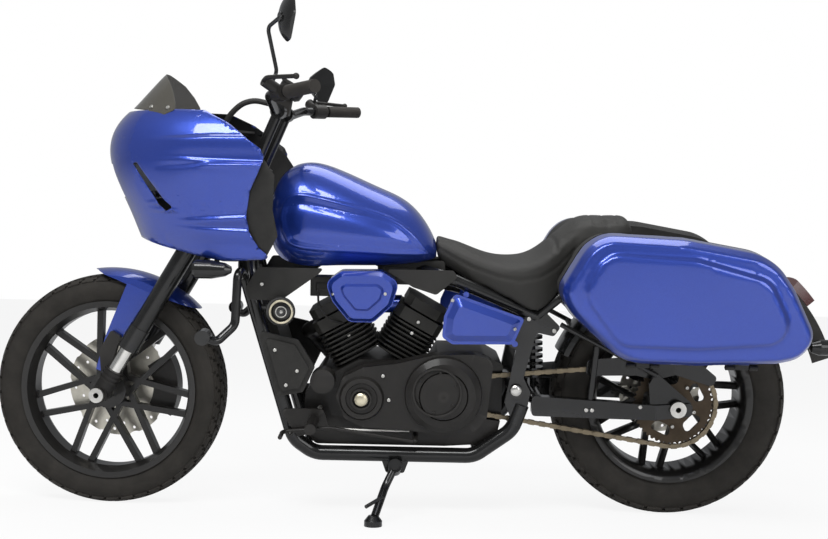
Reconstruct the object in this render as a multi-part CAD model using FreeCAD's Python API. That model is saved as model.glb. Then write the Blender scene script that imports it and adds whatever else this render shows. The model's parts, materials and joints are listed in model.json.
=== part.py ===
import FreeCAD, Part
import math
import os
from collections import namedtuple

# Cruiser motorcycle with a frame-mounted fairing and two hard saddlebags, parked on its side stand.
# It is drawn upright and straight ahead, in millimetres: x = 0 midway between the axles and +x to the
# rear, y = 0 the centre plane and -y the rider's left, z = 0 the floor. At the end the steered parts
# turn to their parked angle and the whole machine leans onto its stand.

V = FreeCAD.Vector

# ---- parked attitude -------------------------------------------------------------------------------
LEAN = 7.25                 # degrees to the left, onto the stand
STEER_REST = 5.5            # degrees to the right of straight ahead
STEER_STOP = 30.0           # degrees to either side of straight ahead
ORIGIN = V(-63.0, 142.5, 0.6)   # moves the bottom centre of the leaning machine to the origin

# ---- clearances ------------------------------------------------------------------------------------
SEAT_GAP = 0.1              # between pieces of one body that are bolted or pressed together
SOFT_GAP = 0.3              # under the seat's padding
RUN_FIT = 0.05              # radial, shaft in bearing
SIDE_GAP = 1.0              # beside a hub, knuckle or steering bearing

# ---- wheels and steering geometry --------------------------------------------------------------------
WHEELBASE = 1600.0
FRONT_X = -800.0
REAR_X = FRONT_X + WHEELBASE
RAKE = 30.6                 # degrees from upright
FORK_OFFSET = 45.0          # legs ahead of the steering axis
LEG_Y = 105.0               # fork leg from the centre plane
AXLE_R = 12.5
AXLE_BORE = 7.5

Wheel = namedtuple("Wheel", "x radius half_width rim_r rim_half barrel_r hub_r hub_half apex_turn")
FRONT = Wheel(FRONT_X, 330.0, 60.0, 254.0, 45.0, 228.0, 52.0, 50.0, 15.0)
REAR = Wheel(REAR_X, 336.0, 76.0, 236.0, 62.0, 208.0, 58.0, 70.0, 29.0)
SPOKE_PAIRS = 7
SPOKE_SPREAD = 18.5         # degrees from a pair's middle to its rim ends
SPOKE_CROSS = 85.0          # radius at which a pair crosses
SPOKE_WIDE = 15.0
SPOKE_THICK = 24.0
WALL = 3.0                  # sheet and moulded walls

DISC_R = 150.0
DISC_THICK = 5.0
DISC_Y = FRONT.hub_half + SEAT_GAP   # inner face of the front disc
DISC_EYE = AXLE_R + 10               # bolted centre of a disc
REAR_DISC_R = 120.0
PAD_GAP = 2.0

# ---- chain drive -------------------------------------------------------------------------------------
CHAIN_Y = -98.0
SPROCKET_R = 120.0          # pitch radius on the wheel
PINION_R = 52.0             # pitch radius on the gearbox
PINION_X, PINION_Z = 255.0, 353.0
CHAIN_PITCH = 15.9
CHAIN_HALF = 6.5            # half height of a side plate
LINK_HALF = 4.0             # half width of an inner link
PLATE_THICK = 2.2

# ---- fork, measured along its legs up from the axle ---------------------------------------------------
TUBE_R = 27.0               # outer tube
INNER_R = 20.0              # bright inner tube
TUBE_FROM, TUBE_TO = 150.0, 792.0
INNER_FROM, INNER_TO = 40.0, 420.0
CLAMP_LOW, CLAMP_LOW_THICK = 535.0, 40.0
CLAMP_TOP, CLAMP_TOP_THICK = 738.0, 28.0
STEM_R = 18.0
HEAD_R = 33.0

# ---- frame -------------------------------------------------------------------------------------------
RAIL_Y = 130.0
RAIL_R = 17.0
DOWN_R = 21.0
DOWN_Y = 138.0
SPINE_R = 30.0
PIVOT_X, PIVOT_Z = 354.0, 374.0
ARM_Y = 136.0               # middle of each swingarm leg
ARM_HALF = 15.0

# ---- bodywork ----------------------------------------------------------------------------------------
BAG_INNER_Y = 205.0
BAG_SEAM_Y = 300.0
BAG_OUTER_Y = 388.0
BAG_PANEL = 14.0
TANK_FLOOR = 712.0

SIN, COS = math.sin(math.radians(RAKE)), math.cos(math.radians(RAKE))
UP = V(SIN, 0, COS)         # along the fork
AHEAD = V(-COS, 0, SIN)     # square to the fork, forward


# ---- drawing helpers -----------------------------------------------------------------------------------
def side_plane(y):
    return lambda p: V(p[0], y, p[1])


def fork_at(along, ahead=0.0, y=0.0):
    return V(FRONT_X, y, FRONT.radius) + UP * along + AHEAD * ahead


def run(corners, radius, closed):
    """Wire of straight runs through the corners, each corner eased by an arc of the radius."""
    count = len(corners)
    bends = []
    for i, corner in enumerate(corners):
        if not closed and i in (0, count - 1):
            bends.append((corner, None, corner))
            continue
        back = corners[i - 1] - corner
        ahead = corners[(i + 1) % count] - corner
        half_turn = (math.pi - back.getAngle(ahead)) / 2
        reach = min(radius * math.tan(half_turn), 0.45 * back.Length, 0.45 * ahead.Length)
        if reach < 0.05:
            bends.append((corner, None, corner))
            continue
        arc_r = reach / math.tan(half_turn)
        back.normalize()
        ahead.normalize()
        inward = back + ahead
        inward.normalize()
        middle = corner + inward * (math.hypot(arc_r, reach) - arc_r)
        bends.append((corner + back * reach, middle, corner + ahead * reach))
    edges = []
    for i, (start, middle, end) in enumerate(bends):
        if middle is not None:
            edges.append(Part.Arc(start, middle, end).toShape())
        if closed or i < count - 1:
            edges.append(Part.LineSegment(end, bends[(i + 1) % count][0]).toShape())
    return Part.Wire(edges)


def outline(points, radius, place):
    return run([place(p) for p in points], radius, True)


def plate(points, y0, y1, radius=0.0):
    """Prism of an (x, z) outline from y0 to y1."""
    return Part.Face(outline(points, radius, side_plane(y0))).extrude(V(0, y1 - y0, 0))


def inset(points, gap):
    """The (x, z) outline moved inward by a gap; its points run in either direction."""
    count = len(points)
    area = sum(points[i - 1][0] * points[i][1] - points[i][0] * points[i - 1][1] for i in range(count))
    turn = 1.0 if area > 0 else -1.0
    moved = []
    for i, (x, z) in enumerate(points):
        ax, az = x - points[i - 1][0], z - points[i - 1][1]
        bx, bz = points[(i + 1) % count][0] - x, points[(i + 1) % count][1] - z
        al, bl = math.hypot(ax, az), math.hypot(bx, bz)
        nx, nz = -az / al - bz / bl, ax / al + bx / bl
        scale = turn * gap / (1 + (ax * bx + az * bz) / (al * bl))
        moved.append((x + nx * scale, z + nz * scale))
    return moved


def trace(points, place):
    """Closed wire; a point with a third item is the middle of an arc from its neighbours."""
    edges = []
    i = 0
    while i < len(points):
        here, after = points[i], points[(i + 1) % len(points)]
        if len(after) == 3:
            beyond = points[(i + 2) % len(points)]
            edges.append(Part.Arc(place(here), place(after), place(beyond)).toShape())
            i += 2
        else:
            edges.append(Part.LineSegment(place(here), place(after)).toShape())
            i += 1
    return Part.Wire(edges)


def lathe(profile, x, z, start=0.0, sweep=360.0):
    """An (r, y) profile turned about the lateral line through (x, z)."""
    face = Part.Face(trace(profile, lambda p: V(x + p[0], p[1], z)))
    axis = V(0, -1, 0)
    face.rotate(V(x, 0, z), axis, start)
    return face.revolve(V(x, 0, z), axis, sweep)


def ring(x, z, y0, y1, outer, inner=0.0):
    body = Part.makeCylinder(outer, y1 - y0, V(x, y0, z), V(0, 1, 0))
    if inner:
        body = body.cut(Part.makeCylinder(inner, y1 - y0, V(x, y0, z), V(0, 1, 0)))
    return body


def pin(start, end, radius, bore=0.0):
    span = end - start
    body = Part.makeCylinder(radius, span.Length, start, span)
    if bore:
        body = body.cut(Part.makeCylinder(bore, span.Length, start, span))
    return body


def bar(points, radius, bend=60.0):
    """Round bar along straight runs with bends."""
    path = run([V(*p) for p in points], bend, False)
    section = Part.Wire(Part.makeCircle(radius, V(*points[0]), V(*points[1]) - V(*points[0])))
    return path.makePipeShell([section], True, False)


def loft(wires, ruled=False):
    return Part.makeLoft(wires, True, ruled)


def fuse(first, *others):
    return first.fuse(list(others)).removeSplitter()


def mirrored(shape):
    return shape.mirror(V(0, 0, 0), V(0, 1, 0))


def both(shape):
    """The piece and its twin on the other side, as one group of separate solids."""
    return Part.makeCompound([shape, mirrored(shape)])


# ---- wheels --------------------------------------------------------------------------------------------
def tyre(w):
    """Carcass with rounded crown, open towards the rim."""
    bead = w.rim_r - 10 + SEAT_GAP
    top, half = w.radius, w.half_width
    belly = bead + 0.45 * (top - bead)
    shoulder = top - 0.22 * half
    lip = w.rim_half
    inner = 9.0
    profile = [
        (bead, -lip), (w.rim_r + 2, -lip), (belly, -half, 0), (shoulder, -0.8 * half),
        (top, 0, 0), (shoulder, 0.8 * half), (belly, half, 0),
        (w.rim_r + 2, lip), (bead, lip), (bead, lip - 10), (belly, half - inner, 0),
        (shoulder - inner, 0.8 * half - inner), (top - 1.5 * inner, 0, 0),
        (shoulder - inner, inner - 0.8 * half), (belly, inner - half, 0), (bead, 10 - lip)]
    return lathe(profile, w.x, w.radius)


def rim(w):
    seat, drop = w.rim_r - 10, w.barrel_r
    lip = w.rim_half + 7
    profile = [
        (w.rim_r, -lip), (w.rim_r, -w.rim_half - SEAT_GAP), (seat, -w.rim_half - SEAT_GAP),
        (seat, 14 - w.rim_half), (drop + 6, 30 - w.rim_half), (drop + 6, w.rim_half - 30),
        (seat, w.rim_half - 14), (seat, w.rim_half + SEAT_GAP), (w.rim_r, w.rim_half + SEAT_GAP),
        (w.rim_r, lip), (seat - 7, lip), (drop - 3, w.rim_half - 24), (drop - 3, 24 - w.rim_half),
        (seat - 7, -lip)]
    return lathe(profile, w.x, w.radius)


def spoke(w, middle, side):
    """One straight arm from the hub through the crossing of its pair to the rim."""
    def polar(r, degrees):
        a = math.radians(degrees)
        return V(w.x + r * math.cos(a), 0, w.radius + r * math.sin(a))
    outer = polar(w.barrel_r, middle + side * SPOKE_SPREAD)
    cross = polar(SPOKE_CROSS, middle)
    along = cross - outer
    along.normalize()
    inner = cross + along * (SPOKE_CROSS - 0.7 * w.hub_r)
    across = V(-along.z, 0, along.x)
    narrow, wide = SPOKE_WIDE / 2, SPOKE_WIDE / 2 + 1.5
    corners = [outer + across * wide, inner + across * narrow, inner - across * narrow, outer - across * wide]
    face = Part.Face(Part.makePolygon([c - V(0, SPOKE_THICK / 2, 0) for c in corners + corners[:1]]))
    return face.extrude(V(0, SPOKE_THICK, 0))


def cast_wheel(w):
    hub = ring(w.x, w.radius, -w.hub_half, w.hub_half, w.hub_r)
    arms = []
    for pair in range(SPOKE_PAIRS):
        middle = w.apex_turn + pair * 360.0 / SPOKE_PAIRS
        arms += [spoke(w, middle, -1), spoke(w, middle, 1)]
    body = fuse(rim(w), hub, *arms)
    return body.cut(ring(w.x, w.radius, -w.hub_half, w.hub_half, AXLE_R + RUN_FIT))


def drilled_disc(w, y0, radius, holes):
    """Brake disc with a waved edge, two rings of holes and a bolted centre."""
    waves = 10
    body = ring(w.x, w.radius, y0, y0 + DISC_THICK, radius, DISC_EYE + SEAT_GAP)
    cutters = []
    for i in range(waves):
        a = 2 * math.pi * i / waves
        cutters.append(ring(w.x + (radius + 22) * math.cos(a), w.radius + (radius + 22) * math.sin(a),
                            y0, y0 + DISC_THICK, 27))
    for i in range(holes):
        for r, shift in ((radius - 16, 0.0), (radius - 34, 0.5)):
            a = 2 * math.pi * (i + shift + 0.25) / holes
            cutters.append(ring(w.x + r * math.cos(a), w.radius + r * math.sin(a),
                                y0, y0 + DISC_THICK, 4.5))
    return body.cut(cutters)


def rear_wheel():
    """Cast wheel with the brake disc on its right."""
    return fuse(cast_wheel(REAR), drilled_disc(REAR, REAR.hub_half, REAR_DISC_R, 12))


def front_axle():
    end = LEG_Y + TUBE_R + 8
    shaft = ring(FRONT_X, FRONT.radius, -end, end, AXLE_R)
    spacers = [ring(FRONT_X, FRONT.radius, s * (FRONT.hub_half + SIDE_GAP) if s > 0 else SEAT_GAP - AXLE_Y_IN,
                    AXLE_Y_IN - SEAT_GAP if s > 0 else -FRONT.hub_half - SIDE_GAP, AXLE_R + 8)
               for s in (-1, 1)]
    cap = [ring(FRONT_X, FRONT.radius, y, y + 7, AXLE_R + 8) for y in (-end - 6, end - 1)]
    body = fuse(shaft, *spacers, *cap)
    return body.cut(ring(FRONT_X, FRONT.radius, -end - 10, end + 10, AXLE_BORE))


def rear_axle():
    end = ARM_Y + ARM_HALF + 10
    shaft = ring(REAR_X, REAR.radius, -end, end, AXLE_R)
    spacers = [ring(REAR_X, REAR.radius, -ARM_Y + ARM_HALF + SEAT_GAP, -REAR.hub_half - SIDE_GAP, AXLE_R + 8),
               ring(REAR_X, REAR.radius, REAR.hub_half + SIDE_GAP, ARM_Y - ARM_HALF - SEAT_GAP, AXLE_R + 8)]
    nuts = [ring(REAR_X, REAR.radius, y, y + 12, AXLE_R + 10) for y in (-end - 4, end - 8)]
    body = fuse(shaft, *spacers, *nuts)
    return body.cut(ring(REAR_X, REAR.radius, -end - 10, end + 10, AXLE_BORE))


def sprocket():
    """Toothed plate on the wheel; its teeth end just inside the chain's links."""
    teeth = 46
    tip = SPROCKET_R - CHAIN_HALF - 0.6
    points = []
    for i in range(teeth):
        for share, r in ((0.0, tip - 5), (0.3, tip - 5), (0.5, tip), (0.8, tip)):
            a = 2 * math.pi * (i + share) / teeth
            points.append((REAR_X + r * math.cos(a), REAR.radius + r * math.sin(a)))
    y0, y1 = CHAIN_Y - 3, CHAIN_Y + 3
    body = plate(points, y0, y1)
    cutters = [ring(REAR_X, REAR.radius, y0, y1, AXLE_R + 8 + 2)]
    for i in range(5):
        sector = []
        for r, turn in ((62, -20), (62, 20), (93, 20), (93, -20)):
            a = math.radians(72 * i + 29 + turn)
            sector.append((REAR_X + r * math.cos(a), REAR.radius + r * math.sin(a)))
        cutters.append(plate(sector, y0, y1, 13))
    carrier = ring(REAR_X, REAR.radius, CHAIN_Y + 3, -REAR.hub_half - SEAT_GAP, 50, AXLE_R + 10)
    return fuse(body.cut(cutters), carrier)


# ---- chain ---------------------------------------------------------------------------------------------
def chain_points():
    """Pin centres round both sprockets at an even pitch, anticlockwise from the pinion's top."""
    dx, dz = REAR_X - PINION_X, REAR.radius - PINION_Z
    reach = math.hypot(dx, dz)
    base = math.atan2(dz, dx)
    spread = math.acos((PINION_R - SPROCKET_R) / reach)
    top, low = base + spread, base - spread
    straight = math.sqrt(reach ** 2 - (SPROCKET_R - PINION_R) ** 2)
    rear_wrap = 2 * spread
    front_wrap = 2 * math.pi - rear_wrap
    total = 2 * straight + SPROCKET_R * rear_wrap + PINION_R * front_wrap
    links = 2 * round(total / CHAIN_PITCH / 2)

    def on(x, z, r, a):
        return (x + r * math.cos(a), z + r * math.sin(a))

    def at(s):
        if s < straight:
            a, b = on(PINION_X, PINION_Z, PINION_R, top), on(REAR_X, REAR.radius, SPROCKET_R, top)
            t = s / straight
            return (a[0] + (b[0] - a[0]) * t, a[1] + (b[1] - a[1]) * t)
        s -= straight
        if s < SPROCKET_R * rear_wrap:
            return on(REAR_X, REAR.radius, SPROCKET_R, top - s / SPROCKET_R)
        s -= SPROCKET_R * rear_wrap
        if s < straight:
            a, b = on(REAR_X, REAR.radius, SPROCKET_R, low), on(PINION_X, PINION_Z, PINION_R, low)
            t = s / straight
            return (a[0] + (b[0] - a[0]) * t, a[1] + (b[1] - a[1]) * t)
        s -= straight
        return on(PINION_X, PINION_Z, PINION_R, low - s / PINION_R)
    return [at(total * i / links) for i in range(links)]


def link_outline(a, b, half):
    """Lozenge round two pins, six-sided."""
    dx, dz = b[0] - a[0], b[1] - a[1]
    length = math.hypot(dx, dz)
    ux, uz = dx / length, dz / length
    px, pz = -uz * half, ux * half
    return [(a[0] - ux * half, a[1] - uz * half), (a[0] + px, a[1] + pz), (b[0] + px, b[1] + pz),
            (b[0] + ux * half, b[1] + uz * half), (b[0] - px, b[1] - pz), (a[0] - px, a[1] - pz)]


def chain():
    pins = chain_points()
    solids = []
    for i, start in enumerate(pins):
        end = pins[(i + 1) % len(pins)]
        if i % 2:
            solids.append(plate(link_outline(start, end, CHAIN_HALF - 1), CHAIN_Y - LINK_HALF, CHAIN_Y + LINK_HALF))
            continue
        face = LINK_HALF + SEAT_GAP
        for y in (CHAIN_Y - face - PLATE_THICK, CHAIN_Y + face):
            solids.append(plate(link_outline(start, end, CHAIN_HALF), y, y + PLATE_THICK))
    return Part.makeCompound(solids)


# ---- fork ----------------------------------------------------------------------------------------------
AXLE_Y_IN = LEG_Y - TUBE_R - 1      # inner face of the axle castings
FENDER_HALF = LEG_Y - TUBE_R - 8
STRUT_Y = FENDER_HALF + SEAT_GAP    # inner face of the castings' ears


def clamp(start, thick):
    """Triple clamp: an arm round both legs and the stem."""
    half = LEG_Y + TUBE_R + 9
    nose, tail = TUBE_R + 9, -FORK_OFFSET - STEM_R - 11
    shape = [(nose, -half), (nose, half), (6 - nose, half), (-nose - 2, 84), (tail, 34), (tail, -34),
             (-nose - 2, -84), (6 - nose, -half)]
    face = Part.Face(outline(shape, 22, lambda p: fork_at(start, p[0], p[1])))
    body = face.extrude(UP * thick)
    for y in (-LEG_Y, LEG_Y):
        body = body.cut(pin(fork_at(start - 1, 0, y), fork_at(start + thick + 1, 0, y), TUBE_R + SEAT_GAP))
    return body


def fork_clamps():
    stem = pin(fork_at(CLAMP_LOW, -FORK_OFFSET), fork_at(CLAMP_TOP + CLAMP_TOP_THICK + 10, -FORK_OFFSET), STEM_R)
    nut = pin(fork_at(CLAMP_TOP + CLAMP_TOP_THICK, -FORK_OFFSET),
              fork_at(CLAMP_TOP + CLAMP_TOP_THICK + 12, -FORK_OFFSET), STEM_R + 6)
    return fuse(clamp(CLAMP_LOW, CLAMP_LOW_THICK), clamp(CLAMP_TOP, CLAMP_TOP_THICK), stem, nut)


def fork_tubes():
    def leg(y):
        low = pin(fork_at(TUBE_FROM, 0, y), fork_at(TUBE_FROM + 70, 0, y), TUBE_R + 2)
        top = pin(fork_at(TUBE_FROM + 70, 0, y), fork_at(TUBE_TO, 0, y), TUBE_R)
        cap = pin(fork_at(TUBE_TO, 0, y), fork_at(TUBE_TO + 8, 0, y), TUBE_R - 7)
        bore = pin(fork_at(TUBE_FROM, 0, y), fork_at(INNER_TO + 5, 0, y), INNER_R + SEAT_GAP)
        return fuse(low, top, cap).cut(bore)
    return Part.makeCompound([leg(-LEG_Y), leg(LEG_Y)])


def fork_inner_tubes():
    return Part.makeCompound([pin(fork_at(INNER_FROM, 0, y), fork_at(INNER_TO, 0, y), INNER_R)
                              for y in (-LEG_Y, LEG_Y)])


def axle_casting(side):
    """Ribbed foot of a leg, clamped round the axle, with an ear for the fender's strut."""
    low, high = 0.0, 78.0
    y = side * LEG_Y
    body = pin(fork_at(low, 0, y), fork_at(high, 0, y), TUBE_R - 1)
    ribs = [pin(fork_at(s, 0, y), fork_at(s + 5, 0, y), TUBE_R + 1) for s in (44, 56, 68)]
    eye = ring(FRONT_X, FRONT.radius, y - TUBE_R + 2.5, y + TUBE_R - 2.5, 25)
    shape = [(44, -10), (44, 34), (96, 72), (162, 72), (162, 40), (92, 24), (76, -10)]
    face = Part.Face(outline(shape, 6, lambda p: fork_at(p[0], p[1], side * STRUT_Y)))
    ear = face.extrude(V(0, side * 16, 0))
    return fuse(body, eye, ear, *ribs)


def caliper(w, disc_y, disc_r, start, sweep):
    """Housing of the pads over a disc's edge, as an arc about the axle."""
    inner, outer = disc_r - 42, disc_r + 30
    near, far = disc_y - PAD_GAP, disc_y + DISC_THICK + PAD_GAP
    profile = [(inner, near - 18), (outer, near - 18), (outer, far + 25), (inner, far + 25), (inner, far),
               (disc_r + 6, far), (disc_r + 6, near), (inner, near)]
    return lathe(profile, w.x, w.radius, start, sweep)


def fork_lowers():
    left, right = axle_casting(-1), axle_casting(1)
    arm = plate([(FRONT_X, FRONT.radius + 24), (FRONT_X, FRONT.radius - 22),
                 (FRONT_X + 130, FRONT.radius - 30), (FRONT_X + 140, FRONT.radius + 60)],
                AXLE_Y_IN + 1, AXLE_Y_IN + 13, 10)
    right = fuse(right, arm, caliper(FRONT, DISC_Y, DISC_R, -28, 62))
    shaft = ring(FRONT_X, FRONT.radius, -200, 200, AXLE_R + SEAT_GAP)
    legs = [pin(fork_at(INNER_FROM, 0, y), fork_at(300, 0, y), INNER_R + SEAT_GAP) for y in (-LEG_Y, LEG_Y)]
    return Part.makeCompound([left.cut([shaft] + legs), right.cut([shaft] + legs)])


def front_fender():
    """Blade over the tyre with deeper middle, carried by a strut ahead of each leg."""
    crown, half = FRONT.radius + 18, FENDER_HALF
    skirt = FRONT.radius - 28
    profile = [(skirt, -half), (crown - 18, -half + 3), (crown, 0, 0), (crown - 18, half - 3), (skirt, half),
               (skirt, half - WALL), (crown - 20, half - WALL - 3), (crown - WALL, 0, 0),
               (crown - 20, WALL + 3 - half), (skirt, WALL - half)]
    blade = lathe(profile, FRONT_X, FRONT.radius, 32, 68)
    side = [(-487, 530), (-517, 556), (-600, 588), (-677, 609), (-770, 648), (-836, 672), (-862, 676),
            (-862, 760), (-487, 760)]
    keep = plate(side, -half - 5, half + 5)
    strut = [(-739, 640), (-672, 612), (-742, 505), (-806, 386), (-828, 392), (-800, 490)]
    foot = plate(strut, -half, -half + WALL)
    return fuse(blade.common(keep), foot, mirrored(foot))


# ---- handlebar group -------------------------------------------------------------------------------------
BAR_R = 12.7
GRIP_R = 17.0
RISER_Y = 60.0
BAR_MID = V(-318.0, 0.0, 1128.0)
GRIP_IN = V(-248.0, 315.0, 1158.0)
GRIP_OUT = V(-168.0, 400.0, 1164.0)
PERCH_BACK, PERCH_REACH, PERCH_R = 22.0, 58.0, 15.0
GAUGE_R, GAUGE_TILT = 36.0, 30.0
GAUGE_FOOT = V(12.0, 0.0, 44.0)     # back of the gauge's bowl from the bar's middle


def side_of(point, side):
    return V(point.x, side * point.y, point.z)


def handlebar():
    elbow = GRIP_IN - (GRIP_OUT - GRIP_IN) * 0.7
    bend = V(BAR_MID.x, 110, BAR_MID.z)
    points = [side_of(p, -1) for p in (GRIP_OUT, elbow, bend)] + [bend, elbow, GRIP_OUT]
    tube = bar([tuple(p) for p in points], BAR_R, 50)
    risers = []
    for y in (-RISER_Y, RISER_Y):
        foot = fork_at(CLAMP_TOP + 10, -FORK_OFFSET + 12, y)
        risers.append(fuse(pin(foot, V(BAR_MID.x, y, BAR_MID.z), BAR_R + 2),
                           ring(BAR_MID.x, BAR_MID.z, y - 17, y + 17, BAR_R + 8)))
    below = pin(fork_at(CLAMP_TOP - 60), fork_at(CLAMP_TOP + CLAMP_TOP_THICK + SEAT_GAP), 250)
    return fuse(tube, *risers).cut(below)


def along_grip(side, t):
    inner, outer = side_of(GRIP_IN, side), side_of(GRIP_OUT, side)
    return inner + (outer - inner) * t


def grips():
    pieces = []
    for side in (-1, 1):
        body = pin(along_grip(side, 0.08), along_grip(side, 1.12), GRIP_R)
        pieces.append(body.cut(pin(along_grip(side, -0.2), along_grip(side, 1.0), BAR_R + SEAT_GAP)))
    return Part.makeCompound(pieces)


def grip_axes(side):
    """Unit vectors at a grip: outward along it, forward to the lever, and up."""
    along = side_of(GRIP_OUT, side) - side_of(GRIP_IN, side)
    along.normalize()
    front = V(-1, 0, 0.35)
    front = front - along * front.dot(along)
    front.normalize()
    up = along.cross(front) * side
    return along, front, up


def hand_controls():
    """Switch housing, perch and lever at each grip, with the gauge on the bar's middle."""
    pieces = []
    for side in (-1, 1):
        inner, outer = side_of(GRIP_IN, side), side_of(GRIP_OUT, side)
        along, front, up = grip_axes(side)
        house = pin(inner - along * 45, inner - along * 3, GRIP_R + 5)
        perch_from = inner - along * PERCH_BACK
        root = perch_from + front * PERCH_REACH
        perch = pin(perch_from, root, PERCH_R)
        tip = outer + front * 48 - along * 4
        lever = bar([tuple(root), tuple(root + along * 30 + front * 8), tuple(tip)], 5.5, 25)
        ball = Part.makeSphere(8, tip)
        body = fuse(house, perch, lever, ball)
        pieces.append(body.cut(pin(inner - along * 80, outer, BAR_R + SEAT_GAP)))
    return Part.makeCompound(pieces + [gauge()])


def gauge():
    """Round instrument bowl, tilted to the rider, on an arm clamped to the bar."""
    bowl = lathe([(0, 0), (24, 0), (34, 8), (GAUGE_R, 24), (GAUGE_R, 34), (GAUGE_R + 3, 36),
                  (GAUGE_R + 3, 44), (0, 44)], 0, 0)
    bowl.rotate(V(0, 0, 0), V(1, 0, 0), 90)
    bowl.rotate(V(0, 0, 0), V(0, 1, 0), GAUGE_TILT)
    bowl.translate(BAR_MID + GAUGE_FOOT)
    x, z, top = BAR_MID.x, BAR_MID.z - 8, BAR_MID.z + GAUGE_FOOT.z
    arm = plate([(x - BAR_R - 6, z), (x - BAR_R - 2, top + 8), (x + GAUGE_FOOT.x + 16, top + 4),
                 (x + BAR_R + 6, z)], -12, 12, 4)
    return fuse(bowl, arm).cut(ring(BAR_MID.x, BAR_MID.z, -60, 60, BAR_R + SEAT_GAP))


# a mirror's head, outward from its middle and up
MIRROR_HEAD = [(8, 60), (42, 44), (50, 6), (22, -54), (-4, -60), (-50, -12), (-46, 20)]
HEAD_THICK = 20.0
MIRRORS = [   # side, turn of the glass towards the rider, knee of the stem, middle of the head
    (-1, 33.0, V(-286, -372, 1310), V(-228, -408, 1329)), (1, 47.0, V(-300, 352, 1236), V(-273, 405, 1248))]


def mirrors():
    """A domed head on a bent stem from each perch; each is turned as the rider left it."""
    pieces = []
    for side, turn, knee, centre in MIRRORS:
        inner = side_of(GRIP_IN, side)
        along, front, up = grip_axes(side)
        foot = inner - along * PERCH_BACK + front * (PERCH_REACH * 0.62) + up * (PERCH_R + SEAT_GAP)
        glass = V(math.cos(math.radians(turn)), -side * math.sin(math.radians(turn)), 0)
        outward = V(-side * glass.y, side * glass.x, 0)
        back = centre - glass * HEAD_THICK
        stem = bar([tuple(foot), tuple(foot + up * 25), tuple(knee), tuple(back)], 5.0, 30)
        face = Part.Face(outline(MIRROR_HEAD, 16, lambda p: centre + outward * p[0] + V(0, 0, p[1])))
        dome = Part.makeSphere(95, centre + glass * (95 - HEAD_THICK))
        neck = pin(back - glass * 4, centre - glass * 6, 12)
        pieces.append(fuse(stem, neck, face.extrude(glass * -HEAD_THICK).common(dome)))
    return Part.makeCompound(pieces)


# ---- frame ---------------------------------------------------------------------------------------------
def head_span():
    return CLAMP_LOW + CLAMP_LOW_THICK + SIDE_GAP, CLAMP_TOP - SIDE_GAP


def spine(radius):
    start = fork_at(head_span()[1] - 40, -FORK_OFFSET - 15)
    return bar([tuple(start), (-330, 0, 850), (60, 0, 690), (200, 0, 655)], radius, 90)


def down_tube(side, radius):
    start = fork_at(head_span()[0] + 62, -FORK_OFFSET - 30, side * 25)
    return bar([tuple(start), (-400, side * DOWN_Y, 690), (-262, side * DOWN_Y, 228),
                (-205, side * RAIL_Y, 186), (240, side * RAIL_Y, 186), (345, side * RAIL_Y, 262),
                (PIVOT_X + 16, side * RAIL_Y, PIVOT_Z - 40)], radius, 70)


def seat_rail(side, radius):
    return bar([(60, side * 25, 700), (150, side * RAIL_Y, 690), (404, side * RAIL_Y, 586)], radius, 60)


def tail_rail(side, radius):
    return bar([(404, side * RAIL_Y, 586), (560, side * RAIL_Y, 720), (980, side * RAIL_Y, 690)], radius, 90)


TAIL_R = RAIL_R - 3
PLATE_HALF = 9.0            # half thickness of the pivot plates


def frame():
    low, high = head_span()
    head = pin(fork_at(low, -FORK_OFFSET), fork_at(high, -FORK_OFFSET), HEAD_R)
    pieces = [spine(SPINE_R)]
    pivot = [(384, 606), (424, 600), (470, 556), (452, 530), (404, 540), (372, 412), (392, 372), (384, 318),
             (340, 296), (322, 340), (336, 420), (350, 494), (328, 498), (328, 566), (366, 572)]
    for side in (-1, 1):
        pieces += [down_tube(side, DOWN_R), seat_rail(side, RAIL_R), tail_rail(side, TAIL_R),
                   plate(pivot, side * RAIL_Y - PLATE_HALF, side * RAIL_Y + PLATE_HALF, 10)]
    cross = [ring(x, z, -RAIL_Y, RAIL_Y, 14) for x, z in ((-228, 204), (250, 192), (404, 586))]
    arm_from = fork_at(high - 60, -FORK_OFFSET)
    stay = bar([tuple(arm_from), (-640, 0, 900)], 16, 10)
    stay_cross = bar([(-640, -260, 900), (-640, 260, 900)], 10, 10).common(fairing_body(FAIRING_WALL + SEAT_GAP))
    body = fuse(head, *pieces, *cross, stay, stay_cross, stand_bracket())
    body = body.cut(pin(fork_at(low - 5, -FORK_OFFSET), fork_at(high + 5, -FORK_OFFSET), STEM_R + RUN_FIT))
    return body.cut(ring(PIVOT_X, PIVOT_Z, -200, 200, AXLE_R + SEAT_GAP))


CROSS_X, CROSS_Z, CROSS_R = PIVOT_X + 62, PIVOT_Z - 32, 20.0
SHOCK_TOP = V(404, 0, 586)
BRACE_R = 7.0
BRACE_Y = RAIL_Y + PLATE_HALF + BRACE_R + SEAT_GAP


def chain_guard():
    """Strip outside the chain's upper run and over the sprocket's top, pinned to the left leg."""
    y0, y1 = CHAIN_Y - 14, CHAIN_Y - 11
    strip = plate([(552, 462), (548, 416), (690, 420), (745, 408), (800, 424), (872, 402), (905, 392),
                   (918, 418), (868, 458), (800, 480), (690, 474)], y0, y1, 12)
    pins = [pin(V(x, -ARM_Y + 4, z), V(x, y1 - 1, z), 5) for x, z in ((566, 436), (REAR_X - 52, 420))]
    return [strip] + pins


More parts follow.
